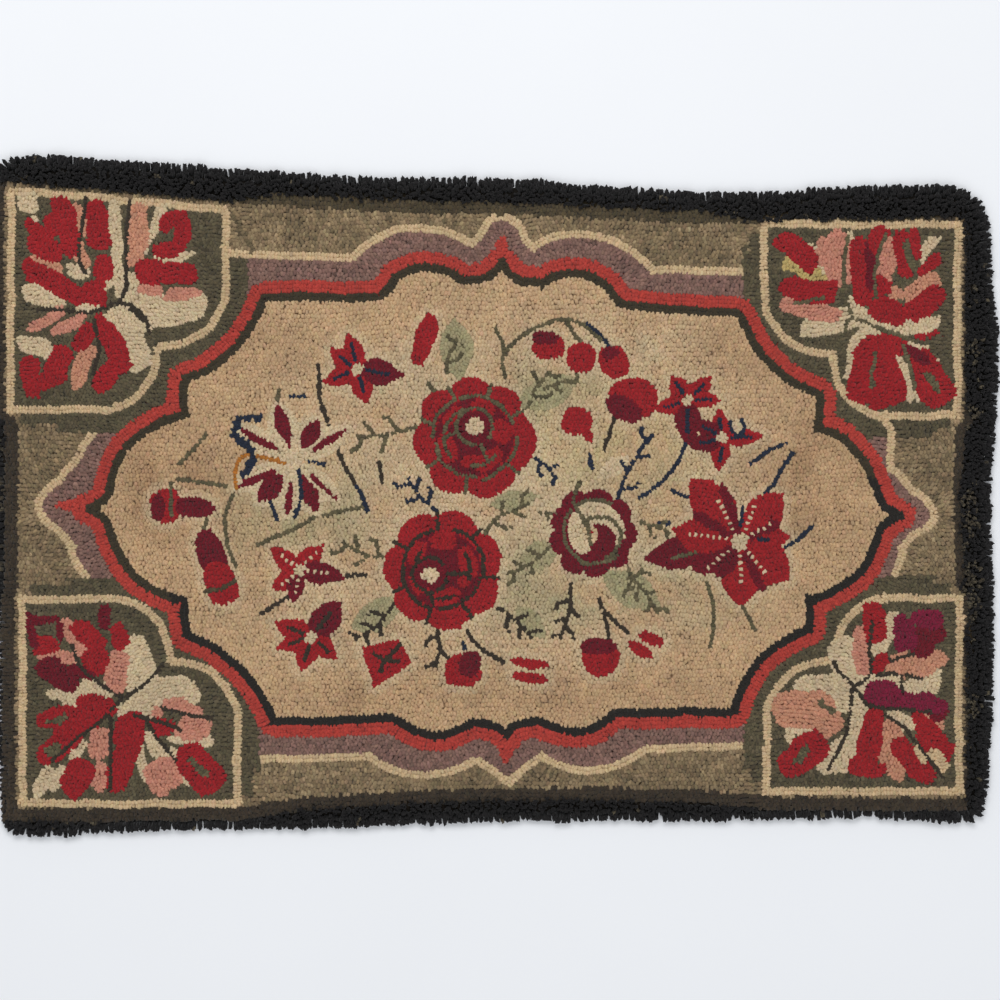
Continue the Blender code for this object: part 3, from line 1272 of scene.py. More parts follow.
def panel_yarns(yarns, points, panel, line):
    """Adds a leaf panel's ground, its light line and the dark band round it."""
    near = in_box(points, line, PANEL_MARGIN)
    places, local = points[near], yarns[near]
    gap = distance(places, line, True)
    across = (places[:, 0] - panel.x) * panel.across
    up = (places[:, 1] - panel.y) * panel.up
    band = (across < panel.width - PANEL_BAND_END) & (up < panel.height - PANEL_BAND_END)
    other = local != YARN_NUMBER["beige"]
    if panel.meets == "side":
        band &= (up < LOBE_START) | (other & inside(places, OUTER_LINE))
    if panel.meets == "bottom":
        band &= (across < NOTCH_ACROSS) | other
    reach = PANEL_BAND + PANEL_BAND_WIDER * (across + up < PANEL_BAND_WIDER_TO)
    local[(band & (gap < reach)) | inside(places, line)] = YARN_NUMBER["dark_olive"]
    local[gap < PANEL_LINE / 2] = YARN_NUMBER["beige"]
    yarns[near] = local


def base_yarns(points):
    """The yarn of the ground and of the frame at each point, before the motifs."""
    across, up = points.T
    yarns = np.full(len(points), YARN_NUMBER["ground"])
    yarns[inside(points, OUTER_LINE)] = YARN_NUMBER["mauve"]
    yarns[distance(points, OUTER_LINE, True) < CREAM_WIDTH / 2] = YARN_NUMBER["beige"]
    at_side = (np.abs(across) > DARK_BROWN_FROM) | (up < DARK_BROWN_BELOW)
    brown = np.where(at_side, YARN_NUMBER["dark_brown"], YARN_NUMBER["brown"])
    yarns = np.where(inside(points, FIELD), yarns, brown)
    yarns[~inside(points, BROWN_LINE)] = YARN_NUMBER["black"]
    for panel, line in zip(PANELS, PANEL_LINES):
        panel_yarns(yarns, points, panel, line)
    middle = inside(points, INNER_LINE)
    gap = distance(points, INNER_LINE, True)
    yarns[~middle & (gap < RED_REACH)] = YARN_NUMBER["brick"]
    waver = BROWN_LINE_WAVER * smooth_noise(points, *BROWN_LINE_NOISE)
    brownish = (up > BROWN_LINE_ABOVE + waver) | (across < BROWN_LINE_LEFT)
    line_yarn = np.where(brownish, YARN_NUMBER["line_brown"], YARN_NUMBER["black"])
    yarns = np.where(gap < BLACK_REACH, line_yarn, yarns)
    yarns[middle & (gap >= BLACK_REACH)] = YARN_NUMBER["tan"]
    return yarns


def painted(points, owners, shapes):
    """The yarn of each loop, with every shape painted in its order."""
    yarns = base_yarns(points)
    for number, shape in enumerate(shapes):
        yarn = YARN_NUMBER[shape.yarn]
        near = np.flatnonzero(in_box(points, shape.path, shape.width))
        if shape.closed:
            yarns[near[inside(points[near], shape.path)]] = yarn
        else:
            if shape.width > ONE_ROW:
                close = distance(points[near], shape.path, False) < shape.width / 2
                yarns[near[close]] = yarn
            own = np.flatnonzero(owners == number)
            yarns[own[:: shape.every]] = yarn
    return yarns


# A wash keeps its full strength near its middle, and falls off by this power.
SOFT_MIDDLE = 1.25
SOFT_FALL = 1.3


def soft(points, x, y, half_x, half_y):
    """A smooth weight of 1 at (x, y) that falls to 0 at the ends of the half sizes."""
    reach = np.hypot((points[:, 0] - x) / half_x, (points[:, 1] - y) / half_y)
    return np.clip(SOFT_MIDDLE - reach, 0, 1) ** SOFT_FALL


# Washes over the tan ground: yarn, strength, then x, y and half sizes of each patch.
WASHES = (
    ("cream", 0.60, 0, 0, 330, 215),
    ("cream", 0.90, 60, 0, 220, 165),
    ("cream", 0.55, 130, 140, 90, 60),
    ("cream", 0.50, -120, 140, 120, 50),
    ("pale_green", 0.75, -205, -12, 95, 55),
    ("pale_green", 0.70, 60, -80, 110, 60),
    ("pale_green", 0.55, 40, 100, 90, 50),
    ("pale_green", 0.55, 130, 10, 70, 60),
    ("pale_green", 0.45, 195, -70, 80, 70),
    ("straw", 0.35, 120, 60, 120, 80),
    ("stain", 0.55, 300, 20, 90, 120),
    ("stain", 0.40, 60, -190, 260, 34),
    ("stain", 0.45, -240, 150, 110, 40),
    ("stain", 0.60, -325, 10, 80, 110),
    ("stain", 0.45, -150, -205, 110, 26),
    ("stain", 0.40, 250, 150, 80, 36),
)


def linear(colour):
    """8-bit sRGB to the linear values that shaders use."""
    share = np.asarray(colour, float) / 255
    return np.where(share <= 0.04045, share / 12.92, ((share + 0.055) / 1.055) ** 2.4)


# The ground is lighter round the flowers and buds.
HALO_REACH = 9.0
HALO_SHARE = 0.62
HALO_FALL = 0.5
# The patchiness of the washes: each noise's strength, size in millimetres and seed.
WASH_LEVEL = 0.7
WASH_NOISES = ((0.75, 30, 21), (0.45, 11, 22))
WASH_LIMITS = (0.15, 1.2)
# How lighter and darker wool is mixed into the brown ground.
GROUND_NOISE = (16, 23)
GROUND_SPREAD = 0.55
GROUND_MIX = 0.6
# How each loop's lightness swells over the rug, its limits, and how hues differ.
SHADE_SWELL = 0.07
SHADE_NOISE = (23, 24)
SHADE_LIMITS = (0.5, 1.6)
HUE_SPREAD = 0.02


def halo(points, shapes):
    """How near each point is to a flower or a bud, from 0 to 1 at its edge."""
    nearest = np.full(len(points), HALO_REACH)
    for shape in shapes:
        if not shape.closed or shape.yarn not in ("red", "crimson"):
            continue
        near = np.flatnonzero(in_box(points, shape.path, HALO_REACH))
        gaps = distance(points[near], shape.path, True)
        nearest[near] = np.minimum(nearest[near], gaps)
    return 1 - nearest / HALO_REACH


def mix(colours, chosen, other, share):
    """Mixes another colour into those of the chosen loops."""
    share = share[:, None]
    colours[chosen] = (colours * (1 - share) + other * share)[chosen]


def wash_ground(colours, points, tan, shapes):
    """Washes the tan ground in soft patches, and lightens it round the flowers."""
    patchy = WASH_LEVEL
    for strength, size, seed in WASH_NOISES:
        patchy = patchy + strength * smooth_noise(points, size, seed)
    patchy = np.clip(patchy, *WASH_LIMITS)
    for name, strength, *patch in WASHES:
        share = np.clip(soft(points, *patch) * strength * patchy, 0, 1)
        mix(colours, tan, linear(YARNS[name]), share)
    share = (HALO_SHARE * halo(points[tan], shapes) ** HALO_FALL)[:, None]
    colours[tan] = colours[tan] * (1 - share) + linear(YARNS["cream"]) * share


def yarn_colours(points, yarns, shapes, seed=SHADE_SEED):
    """Each loop's linear colour: its yarn, the washes of the dye, and its own shade."""
    own = np.random.default_rng(seed)
    colours = linear([YARNS[name] for name in YARN_NAMES])[yarns]
    wash_ground(colours, points, yarns == YARN_NUMBER["tan"], shapes)
    light = own.normal(0, GROUND_SPREAD, len(points))
    light = np.clip(smooth_noise(points, *GROUND_NOISE) + light, -1, 1)
    lighter, darker = linear(YARNS["ground_light"]), linear(YARNS["ground_dark"])
    other = np.where(light[:, None] > 0, lighter, darker)
    mix(colours, yarns == YARN_NUMBER["ground"], other, np.abs(light) * GROUND_MIX)
    heathered = np.isin(yarns, [YARN_NUMBER[name] for name in HEATHERED])
    spread = np.where(heathered, HEATHER_SPREAD, PLAIN_SPREAD)
    swell = SHADE_SWELL * smooth_noise(points, *SHADE_NOISE)
    shade = 1 + spread * own.normal(0, 1, len(points)) + swell
    hue = 1 + HUE_SPREAD * own.normal(0, 1, (len(points), 3))
    return np.clip(colours * np.clip(shade, *SHADE_LIMITS)[:, None] * hue, 0, 1)


# Meshes

def place(points):
    """Design millimetres as metres in the row's frame."""
    return (points + (SHIFT_X, SHIFT_Y)) * MM


def add_mesh(name, vertices, corners, sizes, colours, material):
    """A mesh object from arrays: its vertices, the faces' corners, and each face's size."""
    mesh = bpy.data.meshes.new(name)
    mesh.vertices.add(len(vertices))
    mesh.vertices.foreach_set("co", np.ascontiguousarray(vertices, np.float32).ravel())
    mesh.loops.add(len(corners))
    mesh.loops.foreach_set("vertex_index", np.ascontiguousarray(corners, np.int32))
    mesh.polygons.add(len(sizes))
    starts = np.concatenate([[0], np.cumsum(sizes)[:-1]])
    mesh.polygons.foreach_set("loop_start", starts.astype(np.int32))
    mesh.polygons.foreach_set("use_smooth", np.ones(len(sizes), bool))
    mesh.update(calc_edges=True)
    attribute = mesh.color_attributes.new("yarn", "FLOAT_COLOR", "POINT")
    rgba = np.concatenate([colours, np.ones((len(colours), 1))], axis=1)
    attribute.data.foreach_set("color", rgba.astype(np.float32).ravel())
    mesh.materials.append(material)
    thing = bpy.data.objects.new(name, mesh)
    bpy.context.scene.collection.objects.link(thing)
    return thing


def repeated(faces, count, stride):
    """The corners and face sizes of one small form, repeated count times."""
    flat = np.concatenate([np.asarray(face) for face in faces])
    corners = (flat + stride * np.arange(count)[:, None]).ravel()
    return corners, np.tile([len(face) for face in faces], count)


def ring_faces(start, sides, upper=None):
    """The quads between a ring of corners and the next ring, or one that starts at upper."""
    upper = start + sides if upper is None else upper
    steps = [(k, (k + 1) % sides) for k in range(sides)]
    return [(start + a, start + b, upper + b, upper + a) for a, b in steps]


def pile_mesh(name, vertices, faces, tints, material):
    """One mesh of many equal small forms, whose corners are in design millimetres."""
    count, corners = vertices.shape[:2]
    vertices = vertices.reshape(-1, 3)
    vertices[:, :2] = place(vertices[:, :2])
    vertices[:, 2] *= MM
    shape = repeated(faces, count, corners)
    return add_mesh(name, vertices, *shape, tints.reshape(-1, 3).clip(0, 1), material)


# The rings of a loop: share of its half widths, share of its height, and painted shade, darker
# at the foot where the loops crowd together.
LOOP_RINGS = ((1.30, 0.0, 0.90), (1.06, 0.62, 0.98))
# The crest: its length as a share of the loop's half length, and its painted highlight.
LOOP_CREST = 0.46
LOOP_CREST_HIGHLIGHT = 1.04
LOOP_CORNERS = 10
LOOP_RING_SIZE = (0.90, 0.88)
# How much single loops differ, and how the whole pile swells.
HEIGHT_SPREAD = 0.34
SIZE_SPREAD = 0.07
LEAN = 0.40
TURN_SPREAD = 0.30
CORNER_SPREAD = 0.24
CREST_SPREAD = 0.15
LOOP_SHADE_SPREAD = 0.06
LEAN_MOST = 0.9
PILE_SWELL = 0.35
PILE_NOISE = (70, 31)


def loop_vertices(points, angles, own):
    """The corners of each loop, about its middle, and how light each corner is painted: painted
    shade at the foot, a painted highlight on the crest.

    A loop is a strip of wool that lies across its row: two rings and a rounded crest.
    """
    count = len(points)
    turn = angles + own.normal(0, TURN_SPREAD, count)
    size = 1 + own.normal(0, SIZE_SPREAD, count)
    height = LOOP_HEIGHT + HEIGHT_SPREAD * own.normal(0, 1, count).clip(-2, 2)
    height += PILE_SWELL * smooth_noise(points, *PILE_NOISE)
    lean = own.normal(0, LEAN, (count, 2)).clip(-LEAN_MOST, LEAN_MOST)
    vertices = np.empty((count, LOOP_CORNERS, 3))
    painted_shading = np.empty((count, LOOP_CORNERS))
    signs = np.array([(-1, -1), (1, -1), (1, 1), (-1, 1)], float)
    local = np.empty((count, LOOP_CORNERS, 2))
    rises = np.empty(LOOP_CORNERS)
    for ring, (share, rise, shade) in enumerate(LOOP_RINGS):
        part = slice(4 * ring, 4 * ring + 4)
        local[:, part] = signs * (LOOP_LONG, LOOP_SHORT) * share * LOOP_RING_SIZE
        rises[part] = rise
        painted_shading[:, part] = shade
    local[:, 8:] = np.array([(-1, 0), (1, 0)]) * LOOP_LONG * LOOP_CREST
    rises[8:] = 1.0
    painted_shading[:, 8:] = LOOP_CREST_HIGHLIGHT
    local = local * size[:, None, None] + own.normal(0, CORNER_SPREAD, local.shape)
    c, s = np.cos(turn)[:, None], np.sin(turn)[:, None]
    vertices[:, :, 0] = local[:, :, 0] * c - local[:, :, 1] * s
    vertices[:, :, 1] = local[:, :, 0] * s + local[:, :, 1] * c
    vertices[:, :, :2] += points[:, None, :] + lean[:, None, :] * rises[:, None]
    vertices[:, :, 2] = LOOP_BASE + height[:, None] * rises
    vertices[:, 8:, 2] += own.normal(0, CREST_SPREAD, (count, 2))
    return vertices, painted_shading * (1 + own.normal(0, LOOP_SHADE_SPREAD, painted_shading.shape))


def loops_mesh(name, points, angles, colours, material, seed):
    """Every loop of wool in one mesh."""
    vertices, painted_shading = loop_vertices(points, angles, np.random.default_rng(seed))
    faces = [(3, 2, 1, 0)] + ring_faces(0, 4)
    faces += [(4, 5, 9, 8), (5, 6, 9), (6, 7, 8, 9), (7, 4, 8)]
    # The yarn's colour with painted shade at each loop's foot and a painted highlight on its
    # crest.
    tints = colours[:, None, :] * painted_shading[:, :, None]
    return pile_mesh(name, vertices, faces, tints, material)


# The shag round the edge

SHAG_STEP = 3.25
RIM_TUFT_STEP = 5.2
STRANDS = 4
STRAND_WIDTH = 1.5
STRAND_HEIGHT = (8.2, 10.9)
STRAND_REACH = 7.4
STRAND_FOOT = 0.3
# How the strands change within this reach of the rim: wider, lower and rooted inwards.
SHAG_EDGE = 9.0
EDGE_WIDER = 0.25
EDGE_LOWER = 0.42
EDGE_LEAN_LESS = 0.55
EDGE_INSET = 0.8
# How much the locks and the strands in them differ.
LOCK_LEAN = 1.2
LOCK_LEAN_MOST = 2.4
STRAND_LEAN = 0.45
ROOT_SPREAD = 0.7
ROOT_JITTER = 0.5
REACH_SPREAD = (0.92, 1.06)
WIDTH_SPREAD = (0.8, 1.25)
BLACK_SPREAD = (0.65, 1.35)
# Soft unevenness of the shag: each noise's strength, size in millimetres and seed.
SHAG_HIGHER = (0.10, 14, 42)
SHAG_FURTHER = (0.17, 13, 45)
SHAG_SWAY = 1.4
SHAG_SWAY_NOISES = ((12, 43), (12, 44))
RIM_SEARCH_STEP = 2.0
# The two rings of a strand: share of its reach, share of its height, share of its width.
STRAND_RINGS = ((0.0, 0.0, 0.9), (0.90, 0.88, 1.0))
STRAND_CORNERS = 7
# Each corner's painted shading: painted shade at the foot, less on the upper ring, and a
# painted highlight at the tip.
STRAND_PAINTED_SHADING = (0.6, 0.6, 0.6, 0.95, 0.95, 0.95, 1.15)
SHAG_BLACK = (25, 23, 23)
SHAG_FLECKS = ((84, 76, 60), (66, 58, 45), (54, 48, 38))
# Where brown flecks show along the rug: the place across, and the share of strands.
FLECK_PLACES = ((-492, 0.4), (-480, 0), (458, 0), (464, 0.6), (474, 0.6), (482, 0))
FLECKS_UP_TO = 250
FLECKS_ELSEWHERE = 0.01
FLECK_CLUSTERS = 2.6
FLECK_CLEAR = 0.2
FLECK_NOISE = (17, 41)


def flecked(points, own):
    """Which roots are of a brown yarn: clusters at the inner edge, most on the right."""
    places, shares = zip(*FLECK_PLACES)
    low = np.abs(points[:, 1]) < FLECKS_UP_TO
    share = np.interp(points[:, 0], places, shares) * low
    cluster = FLECK_CLUSTERS * smooth_noise(points, *FLECK_NOISE) - FLECK_CLEAR
    cluster = np.clip(cluster, 0, 1)
    return own.uniform(0, 1, len(points)) < share * cluster + FLECKS_ELSEWHERE


def shag_roots():
    """Where the locks of shag are rooted: between the brown rows and the rim."""
    own = np.random.default_rng(SHAG_ROOT_SEED)
    points = grid_points(SHAG_STEP, SHAG_STEP, 0)
    points += own.uniform(-ROOT_JITTER, ROOT_JITTER, points.shape) * SHAG_STEP
    points = points[in_box(points, RIM)]
    points = points[inside(points, RIM)]
    points = points[~inside(points, BROWN_LINE)]
    return np.concatenate([points, spaced(RIM, RIM_TUFT_STEP, closed=True)[0]])


def swell(points, strength, size, seed):
    """A factor near 1 that changes softly from place to place."""
    return 1 + strength * smooth_noise(points, size, seed)


def strand_reaches(roots, edge, out, own):
    """How far each strand leans over, and which way: outwards at the rim."""
    root = np.repeat(roots, STRANDS, axis=0)
    lean = own.normal(0, LOCK_LEAN, roots.shape).clip(-LOCK_LEAN_MOST, LOCK_LEAN_MOST)
    reach = np.repeat(lean, STRANDS, axis=0) * (1 - EDGE_LEAN_LESS * edge[:, None])
    reach += own.normal(0, STRAND_LEAN, root.shape)
    uneven = np.repeat(own.uniform(*REACH_SPREAD, len(roots)), STRANDS)
    uneven = uneven * swell(root, *SHAG_FURTHER)
    reach += out * (edge * STRAND_REACH * uneven)[:, None]
    sway = [smooth_noise(root, *noise) for noise in SHAG_SWAY_NOISES]
    return reach + SHAG_SWAY * np.stack(sway, axis=1)


def strand_vertices(root, height, reach, edge, out, own):
    """The corners of each strand: two rings of three, and its tip."""
    count = len(root)
    start = root + own.normal(0, ROOT_SPREAD, (count, 2))
    start = start - out * (EDGE_INSET * edge)[:, None]
    turn = 2 * math.pi * np.arange(3) / 3 + own.uniform(0, 2, (count, 1))
    width = STRAND_WIDTH * own.uniform(*WIDTH_SPREAD, (count, 1))
    width *= 1 + EDGE_WIDER * edge[:, None]
    vertices = np.empty((count, STRAND_CORNERS, 3))
    for ring, (share, rise, wide) in enumerate(STRAND_RINGS):
        part = slice(3 * ring, 3 * ring + 3)
        for axis, wave in enumerate((np.cos(turn), np.sin(turn))):
            middle = start[:, axis : axis + 1] + reach[:, axis : axis + 1] * share
            vertices[:, part, axis] = middle + width * wide * wave
        vertices[:, part, 2] = STRAND_FOOT + (height * rise)[:, None]
    vertices[:, -1, :2] = start + reach
    vertices[:, -1, 2] = STRAND_FOOT + height
    return vertices


def strand_colours(roots, own):
    """Black wool, with some locks of brown yarns."""
    count = len(roots) * STRANDS
    black = linear(SHAG_BLACK) * own.uniform(*BLACK_SPREAD, (count, 1))
    flecks = linear(SHAG_FLECKS)[own.integers(0, len(SHAG_FLECKS), count)]
    brown = np.repeat(flecked(roots, own), STRANDS)
    return np.where(brown[:, None], flecks, black)


def shag_mesh(name, roots, material, seed):
    """Thin tapered strands, a few from each root, that lean out over the floor."""
    own = np.random.default_rng(seed)
    root = np.repeat(roots, STRANDS, axis=0)
    rim_points, rim_angles = spaced(RIM, RIM_SEARCH_STEP, closed=True)
    nearest, angle = nearest_on(root, rim_points, rim_angles)
    out = np.stack([np.sin(angle), -np.cos(angle)], axis=1)
    edge = np.clip(1 - np.hypot(*(root - nearest).T) / SHAG_EDGE, 0, 1)
    height = own.uniform(*STRAND_HEIGHT, len(root)) * (1 - EDGE_LOWER * edge)
    height *= swell(root, *SHAG_HIGHER)
    reach = strand_reaches(roots, edge, out, own)
    vertices = strand_vertices(root, height, reach, edge, out, own)
    faces = [(2, 1, 0)] + ring_faces(0, 3) + [(3, 4, 6), (4, 5, 6), (5, 3, 6)]
    # Painted shade at the strands' feet and a painted highlight at their tips.
    painted_shading = np.array(STRAND_PAINTED_SHADING)[:, None]
    tints = strand_colours(roots, own)[:, None, :] * painted_shading
    return pile_mesh(name, vertices, faces, tints, material)


# The foundation

BACK_STEP = 9.2
BACK_THICKNESS = 1.2
PILE_FLOOR = 3.2
BACK_DARKER = 0.62
# The pile's floor is painted darker, as the shade that falls between the loops.
PAINTED_SHADE_BETWEEN_LOOPS = 0.66
BACK_INSET = 0.996
RING_NEAREST = 0.985


def foundation(shapes, material):
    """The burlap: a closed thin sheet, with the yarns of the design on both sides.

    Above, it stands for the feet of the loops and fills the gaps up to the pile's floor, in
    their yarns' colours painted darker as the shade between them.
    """
    rim = spaced(RIM * BACK_INSET, BACK_STEP, closed=True)[0]
    count = len(rim)
    half = RIM[:, 1].max()
    shares = np.arange(1, int(half / BACK_STEP) + 1)[::-1] * BACK_STEP / half
    rings = [rim] + [rim * share for share in shares if share < RING_NEAREST]
    points = np.concatenate(rings + [np.zeros((1, 2))])
    heights = np.full(len(points), PILE_FLOOR)
    heights[:count] = BACK_THICKNESS
    faces = []
    for ring in range(len(rings) - 1):
        faces += ring_faces(ring * count, count)
    middle = len(points) - 1
    last = (len(rings) - 1) * count
    faces += [(last + k, last + (k + 1) % count, middle) for k in range(count)]
    under = [face[::-1] for face in faces]
    above = [tuple(corner + len(points) for corner in face) for face in faces]
    side = ring_faces(0, count, len(points))
    yarns = painted(points, np.full(len(points), -1), shapes)
    colours = yarn_colours(points, yarns, shapes, seed=BACK_SEED)
    placed = place(points)
    lower = np.column_stack([placed, np.zeros(len(points))])
    upper = np.column_stack([placed, heights * MM])
    vertices = np.concatenate([lower, upper])
    # The underside is darker, and the pile's floor is painted darker as shade between the
    # loops.
    colours = np.concatenate([colours * BACK_DARKER, colours * PAINTED_SHADE_BETWEEN_LOOPS])
    faces = under + above + side
    corners = np.concatenate([np.asarray(face) for face in faces])
    sizes = [len(face) for face in faces]
    return add_mesh("foundation", vertices, corners, sizes, colours, material)


# Materials

# Wool: fibres to the metre, their contrast, roughness, sheen and depth in metres.
HOOKED_WOOL = (1500.0, 0.22, 0.90, 0.22, 0.0005)
SHAG_WOOL = (1100.0, 0.30, 0.94, 0.12, 0.0004)
COARSER = 3
SMOOTHER = 0.05
ROUGHER = 0.04
FIBRE_BUMP = 0.6
JUTE = (146, 116, 78)
JUTE_THREADS = {"Scale": 78.0, "Distortion": 1.6, "Detail": 2.0, "Detail Scale": 3.0}
JUTE_HIDDEN = (0.25, 1.0)
JUTE_BUMP = (0.8, 0.0006)
FLOOR_COLOUR = (240, 241, 243)
FLOOR_SHADE = (0.985, 1.0)
NOISE_DETAIL = 3.0
NOISE_LOW = 0.3
NOISE_HIGH = 0.7


def new_material(name):
    """A new material, its nodes and its shader."""
    material = bpy.data.materials.new(name)
    material.use_nodes = True
    return material, material.node_tree, material.node_tree.nodes["Principled BSDF"]


def set_inputs(tree, node, inputs):
    """Sets a node's inputs: each to a value, or to another node's output."""
    for name, value in inputs.items():
        if isinstance(value, bpy.types.NodeSocket):
            tree.links.new(value, node.inputs[name])
        else:
            node.inputs[name].default_value = value


def add_node(tree, kind, inputs):
    """A new node with its inputs."""
    node = tree.nodes.new(kind)
    set_inputs(tree, node, inputs)
    return node


def calculated(tree, operation, first, second):
    """The result of an operation on two values."""
    node = tree.nodes.new("ShaderNodeMath")
    node.operation = operation
    set_inputs(tree, node, {0: first, 1: second})
    return node.outputs[0]


def object_places(tree):
    """Each point's place in the object, in metres."""
    return tree.nodes.new("ShaderNodeTexCoord").outputs["Object"]


def yarn_colour(tree):
    """The colour that the mesh holds at each corner: the yarn's colour with the pile's painted
    shade and highlights.
    """
    node = tree.nodes.new("ShaderNodeAttribute")
    node.attribute_name = "yarn"
    return node.outputs["Color"]


def noise_node(tree, scale):
    """Noise in object coordinates, in cells per metre."""
    inputs = {"Scale": scale, "Detail": NOISE_DETAIL, "Vector": object_places(tree)}
    return add_node(tree, "ShaderNodeTexNoise", inputs).outputs["Fac"]


def ranged(tree, value, low, high):
    """A noise's value spread between low and high."""
    inputs = {"From Min": NOISE_LOW, "From Max": NOISE_HIGH, "To Min": low, "To Max": high}
    return add_node(tree, "ShaderNodeMapRange", {**inputs, "Value": value}).outputs["Result"]


def scaled_colour(tree, colour, value):
    """A colour times a grey value."""
    node = tree.nodes.new("ShaderNodeVectorMath")
    node.operation = "SCALE"
    set_inputs(tree, node, {0: colour, "Scale": value})
    return node.outputs[0]


def bumped(tree, shader, value, strength, depth):
    """Roughens a surface by a value, to a depth in metres."""
    inputs = {"Strength": strength, "Distance": depth, "Height": value}
    bump = add_node(tree, "ShaderNodeBump", inputs)
    tree.links.new(bump.outputs["Normal"], shader.inputs["Normal"])


def yarn_material(name, fibre_scale, contrast, roughness, sheen, depth):
    """Wool whose colour comes from the mesh, broken up by its fibres."""
    material, tree, shader = new_material(name)
    colour = yarn_colour(tree)
    fibres = noise_node(tree, fibre_scale)
    shade = ranged(tree, fibres, 1 - contrast, 1 + contrast)
    coarse = noise_node(tree, fibre_scale / COARSER)
    inputs = {
        "Base Color": scaled_colour(tree, colour, shade),
        "Roughness": ranged(tree, coarse, roughness - SMOOTHER, roughness + ROUGHER),
        "Specular IOR Level": 0.18,
        "Sheen Weight": sheen,
        "Sheen Roughness": 0.55,
    }
    set_inputs(tree, shader, inputs)
    bumped(tree, shader, fibres, FIBRE_BUMP, depth)
    return material


def jute_weave(tree, places):
    """Two sets of threads across each other."""
    bands = []
    for direction in ("X", "Y"):
        wave = add_node(tree, "ShaderNodeTexWave", {**JUTE_THREADS, "Vector": places})
        wave.bands_direction = direction
        bands.append(wave.outputs["Fac"])
    return calculated(tree, "MULTIPLY", *bands)


def burlap_material():
    """The back: flat stitches of wool in a jute weave, and only wool on its upper side."""
    material, tree, shader = new_material("hooked_back")
    places = object_places(tree)
    weave = jute_weave(tree, places)
    height = add_node(tree, "ShaderNodeSeparateXYZ", {0: places}).outputs["Z"]
    above = calculated(tree, "GREATER_THAN", height, BACK_THICKNESS * 0.5 * MM)
    share = calculated(tree, "MAXIMUM", ranged(tree, weave, *JUTE_HIDDEN), above)
    mixed = tree.nodes.new("ShaderNodeMix")
    mixed.data_type = "RGBA"
    inputs = {"A": (*linear(JUTE), 1), "B": yarn_colour(tree), "Factor": share}
    set_inputs(tree, mixed, inputs)
    inputs = {
        "Base Color": mixed.outputs["Result"],
        "Roughness": 0.95,
        "Specular IOR Level": 0.15,
    }
    set_inputs(tree, shader, inputs)
    bumped(tree, shader, weave, *JUTE_BUMP)
    return material


def floor_material():
    """A pale floor with a hint of unevenness."""
    material, tree, shader = new_material("pale_floor")
    shade = ranged(tree, noise_node(tree, 3.0), *FLOOR_SHADE)
    colour = tree.nodes.new("ShaderNodeRGB").outputs[0]
    colour.default_value = (*linear(FLOOR_COLOUR), 1)
    inputs = {
        "Base Color": scaled_colour(tree, colour, shade),
        "Roughness": 0.8,
        "Specular IOR Level": 0.2,
    }
    set_inputs(tree, shader, inputs)
    return material


# The studio

FLOOR_SIZE = 8.0
FLOOR_DROP = 0.0002
CAMERA_HEIGHT = 2.6
SENSOR = 36.0
VIEW_WIDTH = 1.0
# The lights, which face the rug's middle: name, place, size and power.
LIGHTS = (
    ("key", (-0.3, 1.9, 2.4), (2.6, 1.6), 46),
    ("fill", (0.5, -2.2, 2.6), (3.0, 2.0), 20),
)
SKY_COLOUR = (0.93, 0.96, 1.0, 1)
SKY_STRENGTH = 0.60


def add_floor():
    """The floor, a hair below the rug."""
    half = FLOOR_SIZE / 2
    mesh = bpy.data.meshes.new("floor")
    corners = [(-half, -half, 0), (half, -half, 0), (half, half, 0), (-half, half, 0)]
    mesh.from_pydata(corners, [], [(0, 1, 2, 3)])
    mesh.materials.append(floor_material())
    thing = bpy.data.objects.new("floor", mesh)
    thing.location.z = -FLOOR_DROP
    bpy.context.scene.collection.objects.link(thing)


def add_light(name, place_at, size, power):
    """An area light that faces the rug's middle."""
    light = bpy.data.lights.new(name, "AREA")
    light.shape = "RECTANGLE"
    light.size, light.size_y = size
    light.energy = power
    thing = bpy.data.objects.new(name, light)
    thing.location = place_at
    thing.rotation_euler = (-Vector(place_at)).to_track_quat("-Z", "Y").to_euler()
    bpy.context.scene.collection.objects.link(thing)


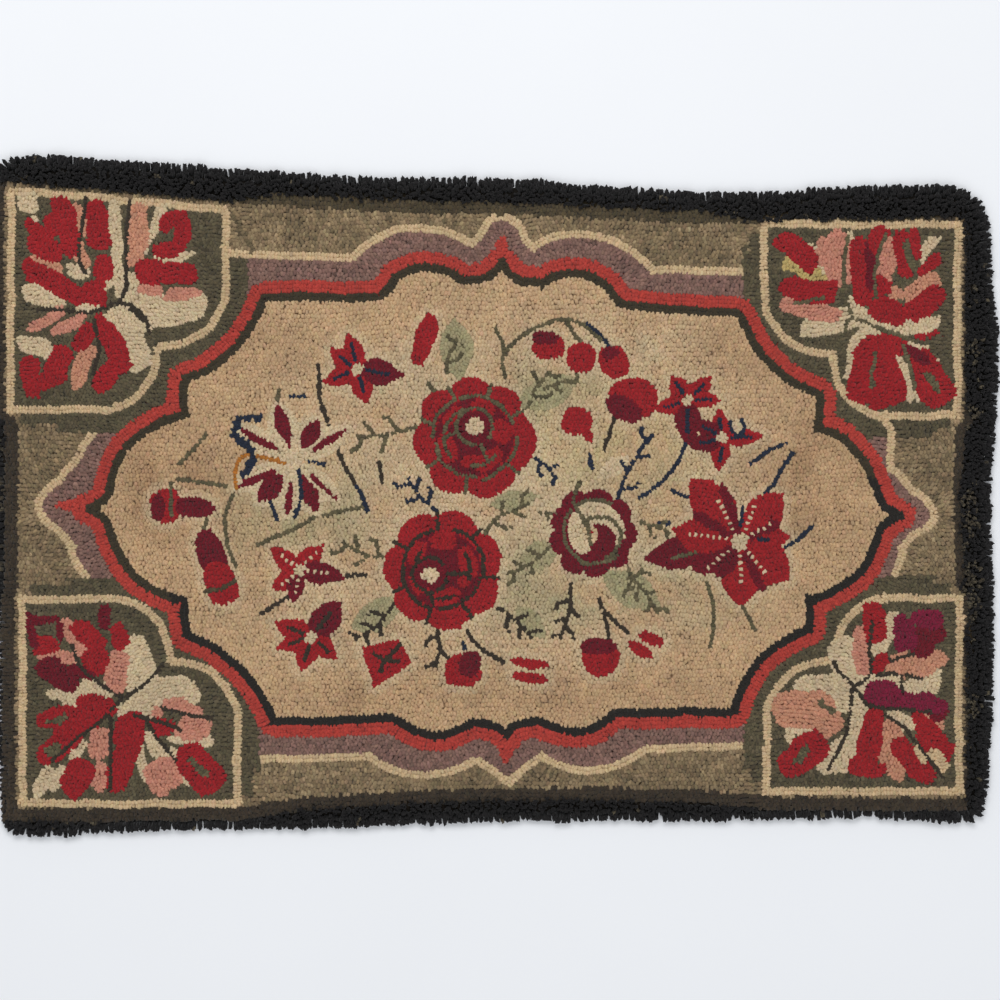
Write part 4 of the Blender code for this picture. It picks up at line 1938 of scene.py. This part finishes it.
def add_camera():
    """A camera straight above the rug, which sees one metre of the floor."""
    camera = bpy.data.cameras.new("camera")
    camera.sensor_width = SENSOR
    camera.lens = SENSOR * CAMERA_HEIGHT / VIEW_WIDTH
    thing = bpy.data.objects.new("camera", camera)
    thing.location = (SHIFT_X * MM, SHIFT_Y * MM, CAMERA_HEIGHT)
    bpy.context.scene.collection.objects.link(thing)
    bpy.context.scene.camera = thing


def studio():
    """The floor, the lights, the sky and the camera."""
    add_floor()
    for light in LIGHTS:
        add_light(*light)
    world = bpy.data.worlds.new("world")
    world.use_nodes = True
    background = world.node_tree.nodes["Background"]
    background.inputs["Color"].default_value = SKY_COLOUR
    background.inputs["Strength"].default_value = SKY_STRENGTH
    bpy.context.scene.world = world
    bpy.context.scene.view_settings.view_transform = "Standard"
    add_camera()


# The rug

def loop_groups(points):
    """Which piece each loop belongs to."""
    middle = inside(points, INNER_LINE)
    panels = np.zeros(len(points), bool)
    for line in PANEL_LINES:
        panels |= inside(points, line)
    left = points[:, 0] < MIDDLE_X
    return {
        "loops_medallion_left": middle & left,
        "loops_medallion_right": middle & ~left,
        "loops_panels": panels,
        "loops_ground_left": ~middle & ~panels & left,
        "loops_ground_right": ~middle & ~panels & ~left,
    }


def ride(piece):
    """Ties a piece to the rug's body, and hides the imported node."""
    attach(piece, BODY)
    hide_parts(NODE)


def rug():
    """Every piece of the rug."""
    shapes = design()
    wool = yarn_material("hooked_wool", *HOOKED_WOOL)
    shag_wool = yarn_material("shag_wool", *SHAG_WOOL)
    points, angles, owners = loop_places(shapes)
    yarns = painted(points, owners, shapes)
    colours = yarn_colours(points, yarns, shapes)
    pieces = []
    for number, (name, chosen) in enumerate(loop_groups(points).items()):
        seed = LOOPS_SEED + number
        look = (points[chosen], angles[chosen], colours[chosen], wool, seed)
        pieces.append(loops_mesh(name, *look))
    roots = shag_roots()
    for name, chosen in (("shag_left", roots[:, 0] < 0), ("shag_right", roots[:, 0] >= 0)):
        pieces.append(shag_mesh(name, roots[chosen], shag_wool, SHAG_SEED + len(pieces)))
    back = foundation(shapes, burlap_material())
    for piece in pieces + [back]:
        ride(piece)


rug()
studio()
